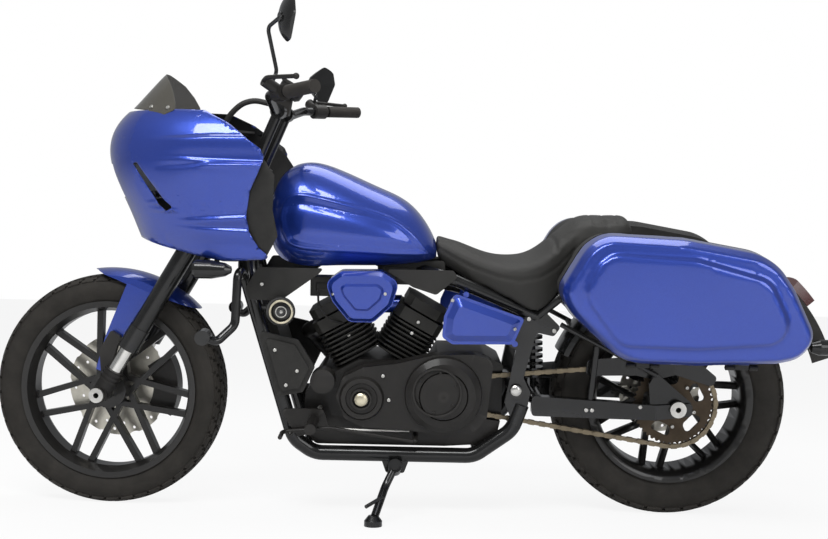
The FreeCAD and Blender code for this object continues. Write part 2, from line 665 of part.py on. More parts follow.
def hugger():
    """Inner mudguard close over the front of the rear tyre, pinned to the upper braces."""
    r, half = REAR.radius + 12, REAR.half_width + 8
    profile = [(r - 24, -half), (r - 10, -half + 3), (r + WALL, 0, 0), (r - 10, half - 3), (r - 24, half),
               (r - 24, half - WALL), (r - 12, half - WALL - 3), (r, 0, 0), (r - 12, WALL + 3 - half),
               (r - 24, WALL - half)]
    blade = lathe(profile, REAR_X, REAR.radius, 100, 57)
    pins = [pin(V(525, side * (half - 12), 531), V(525, side * BRACE_Y, 536), 6) for side in (-1, 1)]
    return [blade] + pins


def rear_caliper():
    y = REAR.hub_half
    arms = [pin(V(REAR_X + x, y + 26, REAR.radius + z), V(REAR_X + x, ARM_Y - 4, REAR.radius + z), 8)
            for x, z in ((-55, 66), (-64, 80))]
    return [caliper(REAR, y, REAR_DISC_R, 100, 55)] + arms


def swingarm():
    """Two legs from the pivot to the axle with a cross tube, upper braces, struts and guards."""
    pieces = chain_guard() + hugger() + rear_caliper()
    for side in (-1, 1):
        y0, y1 = side * ARM_Y - ARM_HALF, side * ARM_Y + ARM_HALF
        pieces.append(bar([(PIVOT_X + 8, side * 94, PIVOT_Z - 4), (PIVOT_X + 46, side * 102, PIVOT_Z - 24),
                           (PIVOT_X + 90, side * ARM_Y, PIVOT_Z - 42)], 16, 30))
        pieces.append(plate([(CROSS_X - 20, PIVOT_Z - 10), (CROSS_X - 20, PIVOT_Z - 66), (REAR_X - 60, 302),
                             (REAR_X + 42, 316), (REAR_X + 42, 352), (REAR_X - 60, 344)], y0, y1, 10))
        pieces.append(plate([(REAR_X - 62, 436), (REAR_X + 40, 352), (REAR_X + 42, 322), (REAR_X - 70, 300),
                             (REAR_X - 80, 400)], y0 + 8, y1 - 8, 8))
        pieces.append(bar([(REAR_X - 60, side * BRACE_Y, 428), (469, side * BRACE_Y, 565)], BRACE_R))
        pieces.append(bar([(572, side * ARM_Y, 505), (558, side * ARM_Y, 334)], 9))
    cross = ring(CROSS_X, CROSS_Z, -ARM_Y, ARM_Y, CROSS_R)
    eye = ring(PIVOT_X, PIVOT_Z, -RAIL_Y + PLATE_HALF + SEAT_GAP, RAIL_Y - PLATE_HALF - SEAT_GAP, AXLE_R + 10)
    y = RAIL_Y + PLATE_HALF + SEAT_GAP
    bolt = ring(PIVOT_X, PIVOT_Z, -y - 10, y + 10, AXLE_R)
    heads = [ring(PIVOT_X, PIVOT_Z, -y - 12, -y, 19), ring(PIVOT_X, PIVOT_Z, y, y + 12, 19)]
    body = fuse(cross, eye, bolt, *heads, *pieces)
    return body.cut(ring(REAR_X, REAR.radius, -200, 200, AXLE_R + SEAT_GAP))


def shock():
    """Single spring unit between the swingarm's cross tube and the frame's."""
    low, high = V(CROSS_X, 0, CROSS_Z), SHOCK_TOP
    span = high - low
    rod = pin(low, high, 9)
    coils = [pin(low + span * (0.2 + 0.075 * i), low + span * (0.235 + 0.075 * i), 30) for i in range(9)]
    body = fuse(rod, *coils)
    return body.cut([ring(low.x, low.z, -60, 60, CROSS_R + SEAT_GAP), ring(high.x, high.z, -60, 60, 14 + SEAT_GAP)])


# ---- engine --------------------------------------------------------------------------------------------
CRANK_X, CRANK_Z = -56.0, 350.0
BANK_TILT = 29.0            # each cylinder from upright
BARREL_FROM, BARREL_TO, HEAD_TO = 110.0, 215.0, 290.0
CASE_Y = 105.0


def bank_at(side, along, across=0.0, y=0.0):
    """A point on a cylinder; side -1 is the front one."""
    a = math.radians(BANK_TILT) * side
    return V(CRANK_X + 20 + along * math.sin(a) + across * math.cos(a), y,
             CRANK_Z + along * math.cos(a) - across * math.sin(a))


def slab(side, start, end, half_x, half_y, corner):
    """Eight-sided block square to a cylinder."""
    c = corner
    shape = [(half_x, half_y - c), (half_x - c, half_y), (c - half_x, half_y), (-half_x, half_y - c),
             (-half_x, c - half_y), (c - half_x, -half_y), (half_x - c, -half_y), (half_x, c - half_y)]
    face = Part.Face(Part.makePolygon([bank_at(side, start, p[0], p[1]) for p in shape + shape[:1]]))
    a = math.radians(BANK_TILT) * side
    return face.extrude(V(math.sin(a), 0, math.cos(a)) * (end - start))


def cylinder(side):
    pieces = [slab(side, BARREL_FROM, HEAD_TO, 50, 56, 18)]
    fins = 8
    for i in range(fins):
        start = BARREL_FROM + 6 + i * (BARREL_TO - BARREL_FROM) / fins
        pieces.append(slab(side, start, start + 5, 72, 82, 20))
    pieces.append(slab(side, BARREL_TO + 4, BARREL_TO + 40, 70, 86, 16))
    pieces.append(slab(side, BARREL_TO + 46, HEAD_TO, 62, 90, 20))
    return fuse(*pieces)


def cylinders():
    return Part.makeCompound([cylinder(-1), cylinder(1)])


def engine_block():
    case = plate([(-240, 250), (-205, 205), (160, 205), (300, 215), (318, 300), (318, 440), (262, 470),
                  (90, 470), (20, 448), (-110, 448), (-190, 420), (-235, 350)], -CASE_Y, CASE_Y, 18)
    for side in (-1, 1):
        case = case.cut(slab(side, BARREL_FROM - SEAT_GAP, HEAD_TO, 90, 120, 10))
    right = plate([(-115, 260), (60, 250), (90, 330), (60, 440), (-85, 440), (-130, 345)], CASE_Y, 150, 40)
    gearbox = plate([(110, 250), (290, 250), (300, 420), (120, 440)], CASE_Y, 135, 30)
    case_filter = bar([(-185, -100, 392), (-185, -150, 392)], 34)
    body = fuse(case, right, gearbox, case_filter)
    body = body.cut(ring(PIVOT_X, PIVOT_Z, -200, 200, AXLE_R + 20))
    way = plate([(PINION_X, PINION_Z - PINION_R - 14), (PINION_X + 90, PINION_Z - PINION_R - 26),
                 (PINION_X + 90, PINION_Z + PINION_R + 26), (PINION_X, PINION_Z + PINION_R + 14)],
                CHAIN_Y - 12, CHAIN_Y + 12)
    return body.cut([way, ring(PINION_X, PINION_Z, CHAIN_Y - 12, CHAIN_Y + 12, PINION_R + 14)])


CLUTCH_X, CLUTCH_Z = 150.0, 365.0


def primary_cover():
    """Long case on the left with the stepped crank boss and the big round clutch cover."""
    y = -CASE_Y - SEAT_GAP
    case = plate([(-146, 352), (-122, 292), (-70, 268), (60, 262), (140, 252), (240, 262), (272, 300),
                  (286, 460), (232, 478), (120, 474), (20, 448), (-72, 436), (-128, 408)], -160, y, 24)
    crank = lathe([(0, -160), (62, -160), (56, -170), (44, -170), (42, -166), (24, -166), (22, -172), (20, -176),
                   (0, -176)], -75, 350)
    clutch = lathe([(0, -160), (107, -160), (104, -172), (88, -184), (68, -188), (66, -184), (64, -190),
                    (0, -193)], CLUTCH_X, CLUTCH_Z)
    return fuse(case, crank, clutch)


def air_cleaner():
    """Rounded shield beside the cylinders, with a raised centre and a neck into the engine."""
    shield = [(-135, 704), (-27, 706), (22, 675), (4, 612), (-46, 565), (-112, 565), (-158, 620), (-178, 672)]
    base = plate(shield, -180, -128, 26)
    cap = loft([outline(inset(shield, 2), 26, side_plane(-180)),
                outline(inset(shield, 12), 22, side_plane(-194))], True)
    raised = loft([outline(inset(shield, 30), 18, side_plane(-190)),
                   outline(inset(shield, 40), 14, side_plane(-202))], True)
    neck = bar([(-74, -128, 640), (-66, -70, 632), (CRANK_X + 20, 0, 596)], 28, 60)
    manifold = pin(V(CRANK_X - 50, 0, 592), V(CRANK_X + 90, 0, 592), 26)
    heads = [slab(side, BARREL_TO - 30, HEAD_TO, 72 + SEAT_GAP, 92, 16) for side in (-1, 1)]
    return fuse(base, cap, raised, fuse(neck, manifold).cut(heads))


SILENCER_Y = 215.0


def exhaust():
    """Two headers on the right into one short silencer ahead of the rear wheel."""
    head = BARREL_TO + 22
    front = bar([tuple(bank_at(-1, head, -70 - SEAT_GAP, 30)), tuple(bank_at(-1, head, -108, 34)),
                 (-232, 122, 478), (-176, 134, 412), (-124, 178, 374), (60, 198, 318), (150, SILENCER_Y, 306)],
                19, 50)
    rear = bar([tuple(bank_at(1, head, 0, 86 + SEAT_GAP)), tuple(bank_at(1, head, 0, 168)), (74, 178, 440),
                (96, 198, 340), (160, SILENCER_Y, 306)], 19, 45)
    can = lathe([(0, 0), (24, 0), (50, 30), (50, 400), (44, 430), (36, 430), (36, 400), (0, 400)], 0, 0)
    can.rotate(V(0, 0, 0), V(0, 0, 1), -90)
    can.rotate(V(0, 0, 0), V(0, 1, 0), -6)
    can.translate(V(138, SILENCER_Y, 303))
    hanger = pin(V(PIVOT_X, SILENCER_Y, PIVOT_Z + 2), V(PIVOT_X, RAIL_Y + PLATE_HALF + 22, PIVOT_Z + 2), 9)
    ports = [slab(-1, BARREL_FROM, BARREL_TO + 4, 72 + SEAT_GAP, 82 + SEAT_GAP, 20),
             slab(-1, BARREL_TO + 4, HEAD_TO, 70 + SEAT_GAP, 86 + SEAT_GAP, 16)]
    return fuse(front.cut(ports), rear, can, hanger.cut(pivot_bolt_space()))


def pivot_bolt_space():
    return ring(PIVOT_X, PIVOT_Z, -RAIL_Y - 40, RAIL_Y + PLATE_HALF + 12 + 2 * SEAT_GAP, 30)


# ---- cooling and covers --------------------------------------------------------------------------------
def radiator():
    """Finned core between the downtubes."""
    core = plate([(-372, 604), (-334, 598), (-266, 374), (-304, 366)], -105, 105)
    lugs = [pin(V(x, y, z), V(x, y + math.copysign(16, y), z), 8)
            for x, z in ((-352, 545), (-312, 410)) for y in (-104, 104)]
    tubes = [down_tube(side, DOWN_R + SEAT_GAP) for side in (-1, 1)]
    return fuse(core, *[lug.cut(tubes) for lug in lugs])


def shrouds():
    """Side covers of the radiator, cover at the steering neck and cover below the tank's tail."""
    face = DOWN_Y + DOWN_R + SEAT_GAP
    rad = [(-360, 534), (-250, 510), (-204, 436), (-236, 366), (-306, 352)]
    neck = [(-362, TANK_FLOOR - 4), (-396, 650), (-386, 618), (-299, 618), (-197, 693), (-184, TANK_FLOOR - 4)]
    tail = [(-19, TANK_FLOOR - 4), (170, TANK_FLOOR - 4), (182, 690), (124, 640), (60, 660), (10, 690)]
    tail_y = RAIL_Y + RAIL_R + SEAT_GAP
    pieces = [fuse(plate(rad, -face - 10, -face, 10), plate(inset(rad, 14), -face - 16, -face - 10, 8)),
              plate(neck, -face - 6, -face, 10), plate(tail, -tail_y - 5, -tail_y, 12)]
    return Part.makeCompound([p for piece in pieces for p in (piece, mirrored(piece))])


def horn():
    x, z = -297.0, 592.0
    body = lathe([(0, -176), (37, -176), (37, -186), (40, -190), (38, -196), (30, -194), (26, -186),
                  (14, -188), (12, -196), (0, -196)], x, z)
    bracket = bar([(x, -176, z), (x, -150, z), (x - 75, -DOWN_Y, z + 6)], 8, 30)
    return fuse(body, bracket.cut(down_tube(-1, DOWN_R + SEAT_GAP)))


# ---- bodywork --------------------------------------------------------------------------------------------
def tank():
    """Teardrop tank from cross sections of a floor, bulging sides and a crowned top."""
    stations = [   # x, floor, top, half width, height of the widest point
        (-338, 790, 876, 68, 838), (-319, 737, 944, 110, 830), (-262, TANK_FLOOR, 986, 146, 830),
        (-150, TANK_FLOOR, 968, 158, 822), (-38, TANK_FLOOR + 2, 920, 148, 806),
        (55, TANK_FLOOR + 8, 870, 122, 790), (112, TANK_FLOOR + 18, 795, 84, 762), (124, 738, 770, 60, 754)]
    wires = []
    for x, floor, top, half, waist in stations:
        foot = half * 0.72
        wires.append(trace([
            (-foot, floor), (-half, (floor + waist) / 2 - 4, 0), (-half * 0.97, waist + (top - waist) * 0.3),
            (-half * 0.62, waist + (top - waist) * 0.86, 0), (0, top), (half * 0.62, waist + (top - waist) * 0.86, 0),
            (half * 0.97, waist + (top - waist) * 0.3), (half, (floor + waist) / 2 - 4, 0), (foot, floor)],
            lambda p, x=x: V(x, p[0], p[1])))
    body = loft(wires)
    return body.cut(spine(SPINE_R + SEAT_GAP))


def seat():
    """Soft one-piece seat: rider's hollow, back roll and pillion; it lies on the rails and the fender."""
    stations = [   # x, bottom, top, half width
        (127, 742, 792, 62), (165, 706, 779, 84), (221, 674, 755, 118), (294, 642, 733, 150),
        (351, 620, 732, 165), (408, 606, 750, 165), (450, 640, 783, 150), (482, 672, 812, 132),
        (525, 710, 846, 120), (590, 734, 852, 112), (640, 750, 858, 100), (668, 758, 840, 84)]
    wires = []
    for x, bottom, top, half in stations:
        edge = top - 16
        wires.append(trace([
            (-half + 8, bottom), (-half, (bottom + edge) / 2, 0), (-half + 6, edge), (0, top + 4, 0),
            (half - 6, edge), (half, (bottom + edge) / 2, 0), (half - 8, bottom)],
            lambda p, x=x: V(x, p[0], p[1])))
    under = [ring(404, 586, -RAIL_Y, RAIL_Y, 14 + SOFT_GAP), spine(SPINE_R + SOFT_GAP),
             lathe([(FENDER_R - 80, -100), (FENDER_R + SOFT_GAP, -100), (FENDER_R + SOFT_GAP, 100),
                    (FENDER_R - 80, 100)], FENDER_X, FENDER_Z, 80, 60), fender_lugs(SOFT_GAP)]
    for side in (-1, 1):
        under += [seat_rail(side, RAIL_R + SOFT_GAP), tail_rail(side, TAIL_R + SOFT_GAP),
                  plate([(360, 560), (360, 612), (480, 600), (480, 530)], side * RAIL_Y - PLATE_HALF - SOFT_GAP,
                        side * RAIL_Y + PLATE_HALF + SOFT_GAP)]
    return loft(wires).cut(under)


def side_cover():
    points = [(174, 649), (146, 586), (142, 528), (170, 509), (337, 512), (366, 585), (342, 592)]
    body = plate(points, -176, -168, 12)
    raised = loft([outline(inset(points, 8), 12, side_plane(-176)),
                   outline(inset(points, 26), 10, side_plane(-188))], True)
    lugs = [ring(x, z, -168, -RAIL_Y - PLATE_HALF - SEAT_GAP, 8) for x, z in ((344, 552), (342, 512))]
    front = ring(205, 645, -168, -RAIL_Y, 8).cut(seat_rail(-1, RAIL_R + SEAT_GAP))
    return fuse(body, raised, front, *lugs)


FENDER_X, FENDER_Z, FENDER_R = 829.0, 345.0, 448.0
FENDER_SIDE = 92.0


def fender_lugs(gap=0.0):
    """Pins from the rear fender's sides to the tail rails."""
    pins = []
    for x, z in ((700, 709), (950, 704)):
        for side in (-1, 1):
            start = V(x, side * (FENDER_SIDE - 2), z)
            pins.append(pin(start, V(x, side * RAIL_Y, z), 8 + gap))
    return Part.makeCompound(pins)


def rear_fender():
    half = FENDER_SIDE
    r = FENDER_R
    profile = [(r - 70, -half), (r - 14, -half + 4), (r, 0, 0), (r - 14, half - 4), (r - 70, half),
               (r - 70, half - WALL), (r - 17, half - WALL - 4), (r - WALL, 0, 0),
               (r - 17, WALL + 4 - half), (r - 70, WALL - half)]
    rails = [tail_rail(side, TAIL_R + SEAT_GAP) for side in (-1, 1)]
    return fuse(lathe(profile, FENDER_X, FENDER_Z, 18, 95), *fender_lugs().cut(rails).Solids)


def tail_lamp():
    r = FENDER_R + SEAT_GAP
    profile = [(r - 5.3, -55), (r, 0, 0), (r - 5.3, 55), (r + 22, 50), (r + 26, 0, 0), (r + 22, -50)]
    return lathe(profile, FENDER_X, FENDER_Z, 38, 9)


BAG = [(432, 691), (446, 651), (470, 618), (602, 498), (793, 495), (997, 504), (1058, 518), (1100, 578),
       (1036, 705), (995, 762), (942, 794), (751, 826), (555, 834), (520, 820), (491, 794)]
BAG_FACE = [(479, 681), (583, 545), (785, 541), (1050, 562), (963, 732), (772, 783), (559, 793), (523, 767)]

BAG_ROUND, FACE_ROUND = 140.0, 60.0     # largest corner arcs of the bag and of its raised face
HINGE_Z, HINGE_R, HINGE_PIN_R = 485.0, 7.0, 3.0
HINGE_HALF = 20.0           # half length of the lid's knuckle
HINGES_X = (665.0, 925.0)


def along_x(x0, x1, radius):
    return Part.makeCylinder(radius, x1 - x0, V(x0, -BAG_SEAM_Y, HINGE_Z), V(1, 0, 0))


def bag_tub(side):
    """Inner half of a saddlebag, open to the lid, with hinge knuckles and pins below."""
    outer = loft([outline(inset(BAG, 10), BAG_ROUND, side_plane(-BAG_INNER_Y)),
                  outline(BAG, BAG_ROUND, side_plane(-BAG_SEAM_Y + SEAT_GAP))], True)
    inner = loft([outline(inset(BAG, 10 + WALL), BAG_ROUND, side_plane(-BAG_INNER_Y - WALL)),
                  outline(inset(BAG, WALL), BAG_ROUND, side_plane(-BAG_SEAM_Y - 1))], True)
    body = outer.cut(inner)
    lugs = [ring(x, z, -BAG_INNER_Y, -ARM_TIP_Y, 12) for x, z in ((600, 705), (950, 692))]
    hinges = []
    for x in HINGES_X:
        hinges.append(along_x(x - HINGE_HALF - 24, x + HINGE_HALF + 24, HINGE_PIN_R))
        for x0 in (x - HINGE_HALF - 22, x + HINGE_HALF + SIDE_GAP):
            hinges.append(along_x(x0, x0 + 21, HINGE_R))
            hinges.append(Part.makeBox(21, 5, 16, V(x0, -BAG_SEAM_Y + 2, HINGE_Z)))
    body = fuse(body, *lugs, *hinges)
    return body if side < 0 else mirrored(body)


def bag_lid(side):
    """Outer half of a saddlebag: a domed shell with a raised face."""
    y0, y1, y2 = -BAG_SEAM_Y - 0.3, -BAG_OUTER_Y, -BAG_OUTER_Y - BAG_PANEL
    outer = loft([outline(BAG, BAG_ROUND, side_plane(y0)),
                  outline(inset(BAG, 4), BAG_ROUND, side_plane(-BAG_SEAM_Y - 60)),
                  outline(inset(BAG, 20), BAG_ROUND, side_plane(y1))], True)
    face = loft([outline(BAG_FACE, FACE_ROUND, side_plane(y1 + 4)),
                 outline(inset(BAG_FACE, 12), FACE_ROUND, side_plane(y2))], True)
    inner = loft([outline(inset(BAG, WALL), BAG_ROUND, side_plane(y0 + 1)),
                  outline(inset(BAG, 24), BAG_ROUND, side_plane(y1 + WALL))], True)
    body = fuse(outer, face).cut(inner)
    knuckles = [part for x in HINGES_X for part in (
        along_x(x - HINGE_HALF, x + HINGE_HALF, HINGE_R),
        Part.makeBox(2 * HINGE_HALF, 5, 20, V(x - HINGE_HALF, -BAG_SEAM_Y - 7, HINGE_Z)))]
    body = fuse(body, *knuckles).cut([along_x(x - HINGE_HALF - 1, x + HINGE_HALF + 1, HINGE_PIN_R + RUN_FIT)
                                      for x in HINGES_X])
    return body if side < 0 else mirrored(body)


ARM_TIP_Y = RAIL_Y + TAIL_R + SEAT_GAP

# ---- fairing -------------------------------------------------------------------------------------------
FAIRING_CUT = [(-900, 1110), (-900, 800), (-690, 773), (-622, 758), (-550, 744), (-453, 728), (-316, 738),
               (-351, 769), (-374, 812), (-380, 857), (-369, 918), (-336, 990), (-334, 1010), (-343, 1029),
               (-381, 1056), (-430, 1093), (-499, 1126), (-600, 1128)]
FAIRING_BACK = -290.0
FAIRING_WALL = 4.0
LAMP_Z, LAMP_HALF_Y, LAMP_HALF_Z = 930.0, 95.0, 46.0


def fairing_section(z, nose, shoulder, half, gap):
    """Horizontal U section, closed across the back; gap moves it inward."""
    n, s, h = nose + gap, shoulder + gap, half - gap
    middle = (FAIRING_BACK + s) / 2
    return trace([
        (FAIRING_BACK, -h), (middle, -h * 0.96, 0), (s, -h * 0.68), (n, 0, 0), (s, h * 0.68),
        (middle, h * 0.96, 0), (FAIRING_BACK, h)], lambda p: V(p[0], p[1], z))


def fairing_body(gap):
    stations = [   # z, nose, shoulder, half width
        (715, -675, -560, 225), (800, -722, -620, 252), (900, -764, -672, 275), (1010, -796, -700, 282),
        (1075, -780, -690, 262), (1140, -715, -640, 215)]
    return loft([fairing_section(z, nose, shoulder, half, gap) for z, nose, shoulder, half in stations])


def fairing():
    """Shark-nosed shell, open behind and below, with a slanted vent in each side."""
    shell = fairing_body(0).cut(fairing_body(FAIRING_WALL)).common(plate(FAIRING_CUT, -320, 320, 8))
    lamp = Part.makeBox(300, 2 * LAMP_HALF_Y, 2 * LAMP_HALF_Z, V(-900, -LAMP_HALF_Y, LAMP_Z - LAMP_HALF_Z))
    vent = plate([(-692, 982), (-680, 984), (-606, 890), (-582, 868), (-600, 858), (-618, 872)], -320, 320, 4)
    return shell.cut([lamp, vent])


def fairing_inner():
    """Inner cowl: side liners towards the tank and a dash under the windshield."""
    inside = fairing_body(FAIRING_WALL + SEAT_GAP)
    core = fairing_body(FAIRING_WALL + SEAT_GAP + WALL)
    liner = inside.cut(core)
    sides = plate([(-450, 740), (-330, 745), (-300, 800), (-312, 870), (-306, 960), (-340, 1010), (-385, 1045),
                   (-450, 1080)], -320, 320, 10)
    dash = inside.common(plate([(-742, 1100), (-742, 1096), (-500, 1040), (-430, 1070), (-430, 1076),
                                (-500, 1050)], -320, 320))
    return fuse(liner.common(sides), dash)


def windshield():
    """Short tinted screen over the fairing's lip, leaning back."""
    stations = [(1075, -780, -690, 262), (1140, -715, -640, 215), (1185, -675, -616, 172), (1232, -632, -590, 80)]

    def body(gap):
        return loft([fairing_section(z, nose, shoulder, half, gap) for z, nose, shoulder, half in stations])
    side = [(-790, 1104), (-720, 1104), (-610, 1112), (-583, 1124), (-583, 1142), (-594, 1170), (-612, 1200),
            (-640, 1228), (-790, 1240)]
    screen = body(-SCREEN_OUT - WALL).cut(body(-SCREEN_OUT)).common(plate(side, -320, 320, 8))
    return screen.cut(fairing_body(-SEAT_GAP))


SCREEN_OUT = 3.0


def headlamp():
    """Wide lamp in the nose on a bracket from the steering head."""
    face = fairing_body(14).common(Part.makeBox(
        300, 2 * LAMP_HALF_Y - 2, 2 * LAMP_HALF_Z - 2, V(-900, 1 - LAMP_HALF_Y, LAMP_Z + 1 - LAMP_HALF_Z)))
    depth = Part.makeBox(70, 2 * LAMP_HALF_Y, 2 * LAMP_HALF_Z, V(-720, -LAMP_HALF_Y, LAMP_Z - LAMP_HALF_Z))
    front = face.common(Part.makeBox(130, 400, 400, V(-800, -200, 700)))
    return fuse(front, depth.common(fairing_body(16)))


def turn_signals():
    """Bullet lamps hung below the fairing, and a pair beside the rear fender."""
    front = lathe([(0, 0), (20, 0), (25, 7), (25, 50), (18, 86), (9, 102), (0, 104)], 0, 0)
    front.rotate(V(0, 0, 0), V(0, 0, 1), -90)
    front.translate(V(-528, -218, 705))
    stalk = bar([(-470, -214, 708), (-470, -186, 716), (-470, -186, 770)], 7, 14)
    seat_arm = pin(V(-470, -180, 770), V(-470, -300, 770), 7).common(fairing_body(FAIRING_WALL + SEAT_GAP))
    front = fuse(front, stalk, seat_arm)
    rear = lathe([(0, 0), (18, 0), (22, 6), (22, 30), (14, 52), (0, 58)], 0, 0)
    rear.rotate(V(0, 0, 0), V(0, 0, 1), 90)
    rear.translate(V(1212, -150, 517))
    arm = pin(V(1196, -150, 519), V(1196, 0.7 - FENDER_SIDE, 519), 6)
    rear = fuse(rear, arm)
    return Part.makeCompound([front, mirrored(front), rear, mirrored(rear)])


def engine_guard():
    """Bar hung from each downtube, ending in a slider puck ahead of the rider's foot."""
    def guard(side):
        tube = bar([(-396, side * DOWN_Y, 672), (-410, side * 205, 712), (-416, side * 214, 556),
                    (-462, side * 246, 512), (-489, side * 262, 530)], 12, 34)
        puck = pin(V(-489, side * 258, 533), V(-489, side * 300, 533), 20)
        return fuse(tube.cut(down_tube(side, DOWN_R + SEAT_GAP)), puck)
    return Part.makeCompound([guard(-1), guard(1)])


def foot_controls():
    """Forward pegs with shift lever and rod on the left and brake pedal on the right."""
    pieces = []
    face = DOWN_Y + DOWN_R + SEAT_GAP
    for side in (-1, 1):
        mount = plate([(-300, 318), (-180, 318), (-160, 262), (-250, 240)], side * (face + 4) - 4,
                      side * (face + 4) + 4, 12)
        peg = bar([(-205, side * (face + 2), 288), (-205, side * 290, 292)], 15)
        lever = bar([(-222, side * (face + 2), 262), (-222, side * (face + 18), 262), (-290, side * (face + 18), 256),
                     (-290, side * 240, 256)], 6, 14)
        pieces.append(fuse(mount, peg, lever))
    rod = bar([(-230, -face - 8, 262), (-157, -face - 8, 266), (70, -face - 8, 233)], 5, 20)
    arm = bar([(70, -face - 8, 233), (76, -face - 4, 236), (76, -CASE_Y - SEAT_GAP, 236)], 7, 10)
    return Part.makeCompound([fuse(pieces[0], rod, arm), pieces[1]])


# ---- side stand ------------------------------------------------------------------------------------------
STAND_PIVOT = V(21.0, -RAIL_Y - DOWN_R - 26, 164.0)
STAND_SLANT = 25.0          # pivot from lateral, so that the folded leg tucks in
STAND_TRAVEL = 100.0
STAND_REACH_X, STAND_REACH_Y = -54.0, -310.0     # foot ahead of the pivot, and its place on the floor
STAND_AXIS = V(0, math.cos(math.radians(STAND_SLANT)), -math.sin(math.radians(STAND_SLANT)))
STAND_PIN_R = 7.0
STAND_EYE_HALF = 12.0


def stand_foot():
    """Where the foot meets the floor, in the upright frame."""
    lean = math.radians(LEAN)
    return V(STAND_PIVOT.x + STAND_REACH_X, STAND_REACH_Y * math.cos(lean), -STAND_REACH_Y * math.sin(lean))


def side_stand():
    foot = stand_foot()
    ankle = foot + V(3, 6, 22)
    root = STAND_PIVOT
    leg = bar([tuple(root), tuple(root + V(-26, -30, -50)), tuple(ankle)], 11, 60)
    eye = pin(root - STAND_AXIS * STAND_EYE_HALF, root + STAND_AXIS * STAND_EYE_HALF, 19)
    toe = bar([tuple(root + (ankle - root) * 0.62 + V(0, 4, 0)), tuple(root + (ankle - root) * 0.8 + V(-34, -16, 4))], 5)
    pad = Part.makeCylinder(24, 14, V(0, 0, 0)).fuse(Part.makeCone(24, 13, 14, V(0, 0, 14)))
    pad.rotate(V(0, 0, 0), V(1, 0, 0), -LEAN)
    pad.translate(foot)
    body = fuse(leg, eye, toe, pad)
    return body.cut(pin(root - STAND_AXIS * 30, root + STAND_AXIS * 30, STAND_PIN_R + RUN_FIT))


def stand_bracket():
    """Ears on the left rail that hold the stand's pivot bolt."""
    root = STAND_PIVOT
    face = STAND_EYE_HALF + SIDE_GAP
    bolt = pin(root - STAND_AXIS * face, root + STAND_AXIS * face, STAND_PIN_R)
    inner = pin(root + STAND_AXIS * face, root + STAND_AXIS * 50, 19)
    head = pin(root - STAND_AXIS * (face + 8), root - STAND_AXIS * face, 13)
    web = plate([(-24, 192), (66, 192), (46, 136), (-4, 136)], -RAIL_Y - 14, -RAIL_Y + 12, 8)
    return fuse(bolt, inner, head, web)


# ---- parking and export ----------------------------------------------------------------------------------
STEER_POINT = fork_at(0, -FORK_OFFSET)


def parked(shape, steered):
    shape = shape.copy()
    if steered:
        shape.rotate(STEER_POINT, UP, -STEER_REST)
    shape.rotate(V(0, 0, 0), V(1, 0, 0), LEAN)
    shape.translate(ORIGIN)
    return shape


def parked_point(point, steered=False):
    return parked(Part.Vertex(point), steered).Point


def parked_axis(axis, steered=False):
    return parked_point(axis, steered) - parked_point(V(0, 0, 0), steered)


FIXED = {
    "frame": frame, "swingarm": swingarm,
    "rear_axle": rear_axle, "shock": shock, "chain": chain, "engine_block": engine_block,
    "cylinders": cylinders, "primary_cover": primary_cover, "air_cleaner": air_cleaner,
    "exhaust": exhaust, "radiator": radiator, "shrouds": shrouds, "horn": horn, "tank": tank,
    "seat": seat, "side_covers": lambda: both(side_cover()), "rear_fender": rear_fender,
    "tail_lamp": tail_lamp, "bag_tubs": lambda: Part.makeCompound([bag_tub(-1), bag_tub(1)]),
    "fairing": fairing, "fairing_inner": fairing_inner, "windshield": windshield, "headlamp": headlamp,
    "turn_signals": turn_signals, "engine_guard": engine_guard, "foot_controls": foot_controls,
    "side_stand": side_stand, "bag_lid_left": lambda: bag_lid(-1), "bag_lid_right": lambda: bag_lid(1),
    "rear_tyre": lambda: tyre(REAR), "rear_wheel": rear_wheel, "rear_sprocket": sprocket,
}
STEERED = {
    "fork_clamps": fork_clamps, "fork_tubes": fork_tubes, "fork_inner_tubes": fork_inner_tubes,
    "fork_lowers": fork_lowers, "front_axle": front_axle, "front_fender": front_fender,
    "handlebar": handlebar, "grips": grips, "hand_controls": hand_controls, "mirrors": mirrors,
    "front_tyre": lambda: tyre(FRONT), "front_wheel": lambda: cast_wheel(FRONT),
    "front_disc": lambda: drilled_disc(FRONT, DISC_Y, DISC_R, 14),
}


def main():
    os.makedirs("parts", exist_ok=True)
    for nodes, steered in ((FIXED, False), (STEERED, True)):
        for name, build in nodes.items():
            shape = parked(build(), steered)
            print(name, len(shape.Solids), shape.isValid(), round(shape.Volume / 1000), flush=True)
            shape.exportStep("parts/" + name + ".step")


main()
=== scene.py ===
"""Looks of a cruiser motorcycle with a fairing and saddlebags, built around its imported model."""
import json
import math

import bpy
import numpy as np
from mathutils import Matrix, Vector
from mathutils.bvhtree import BVHTree

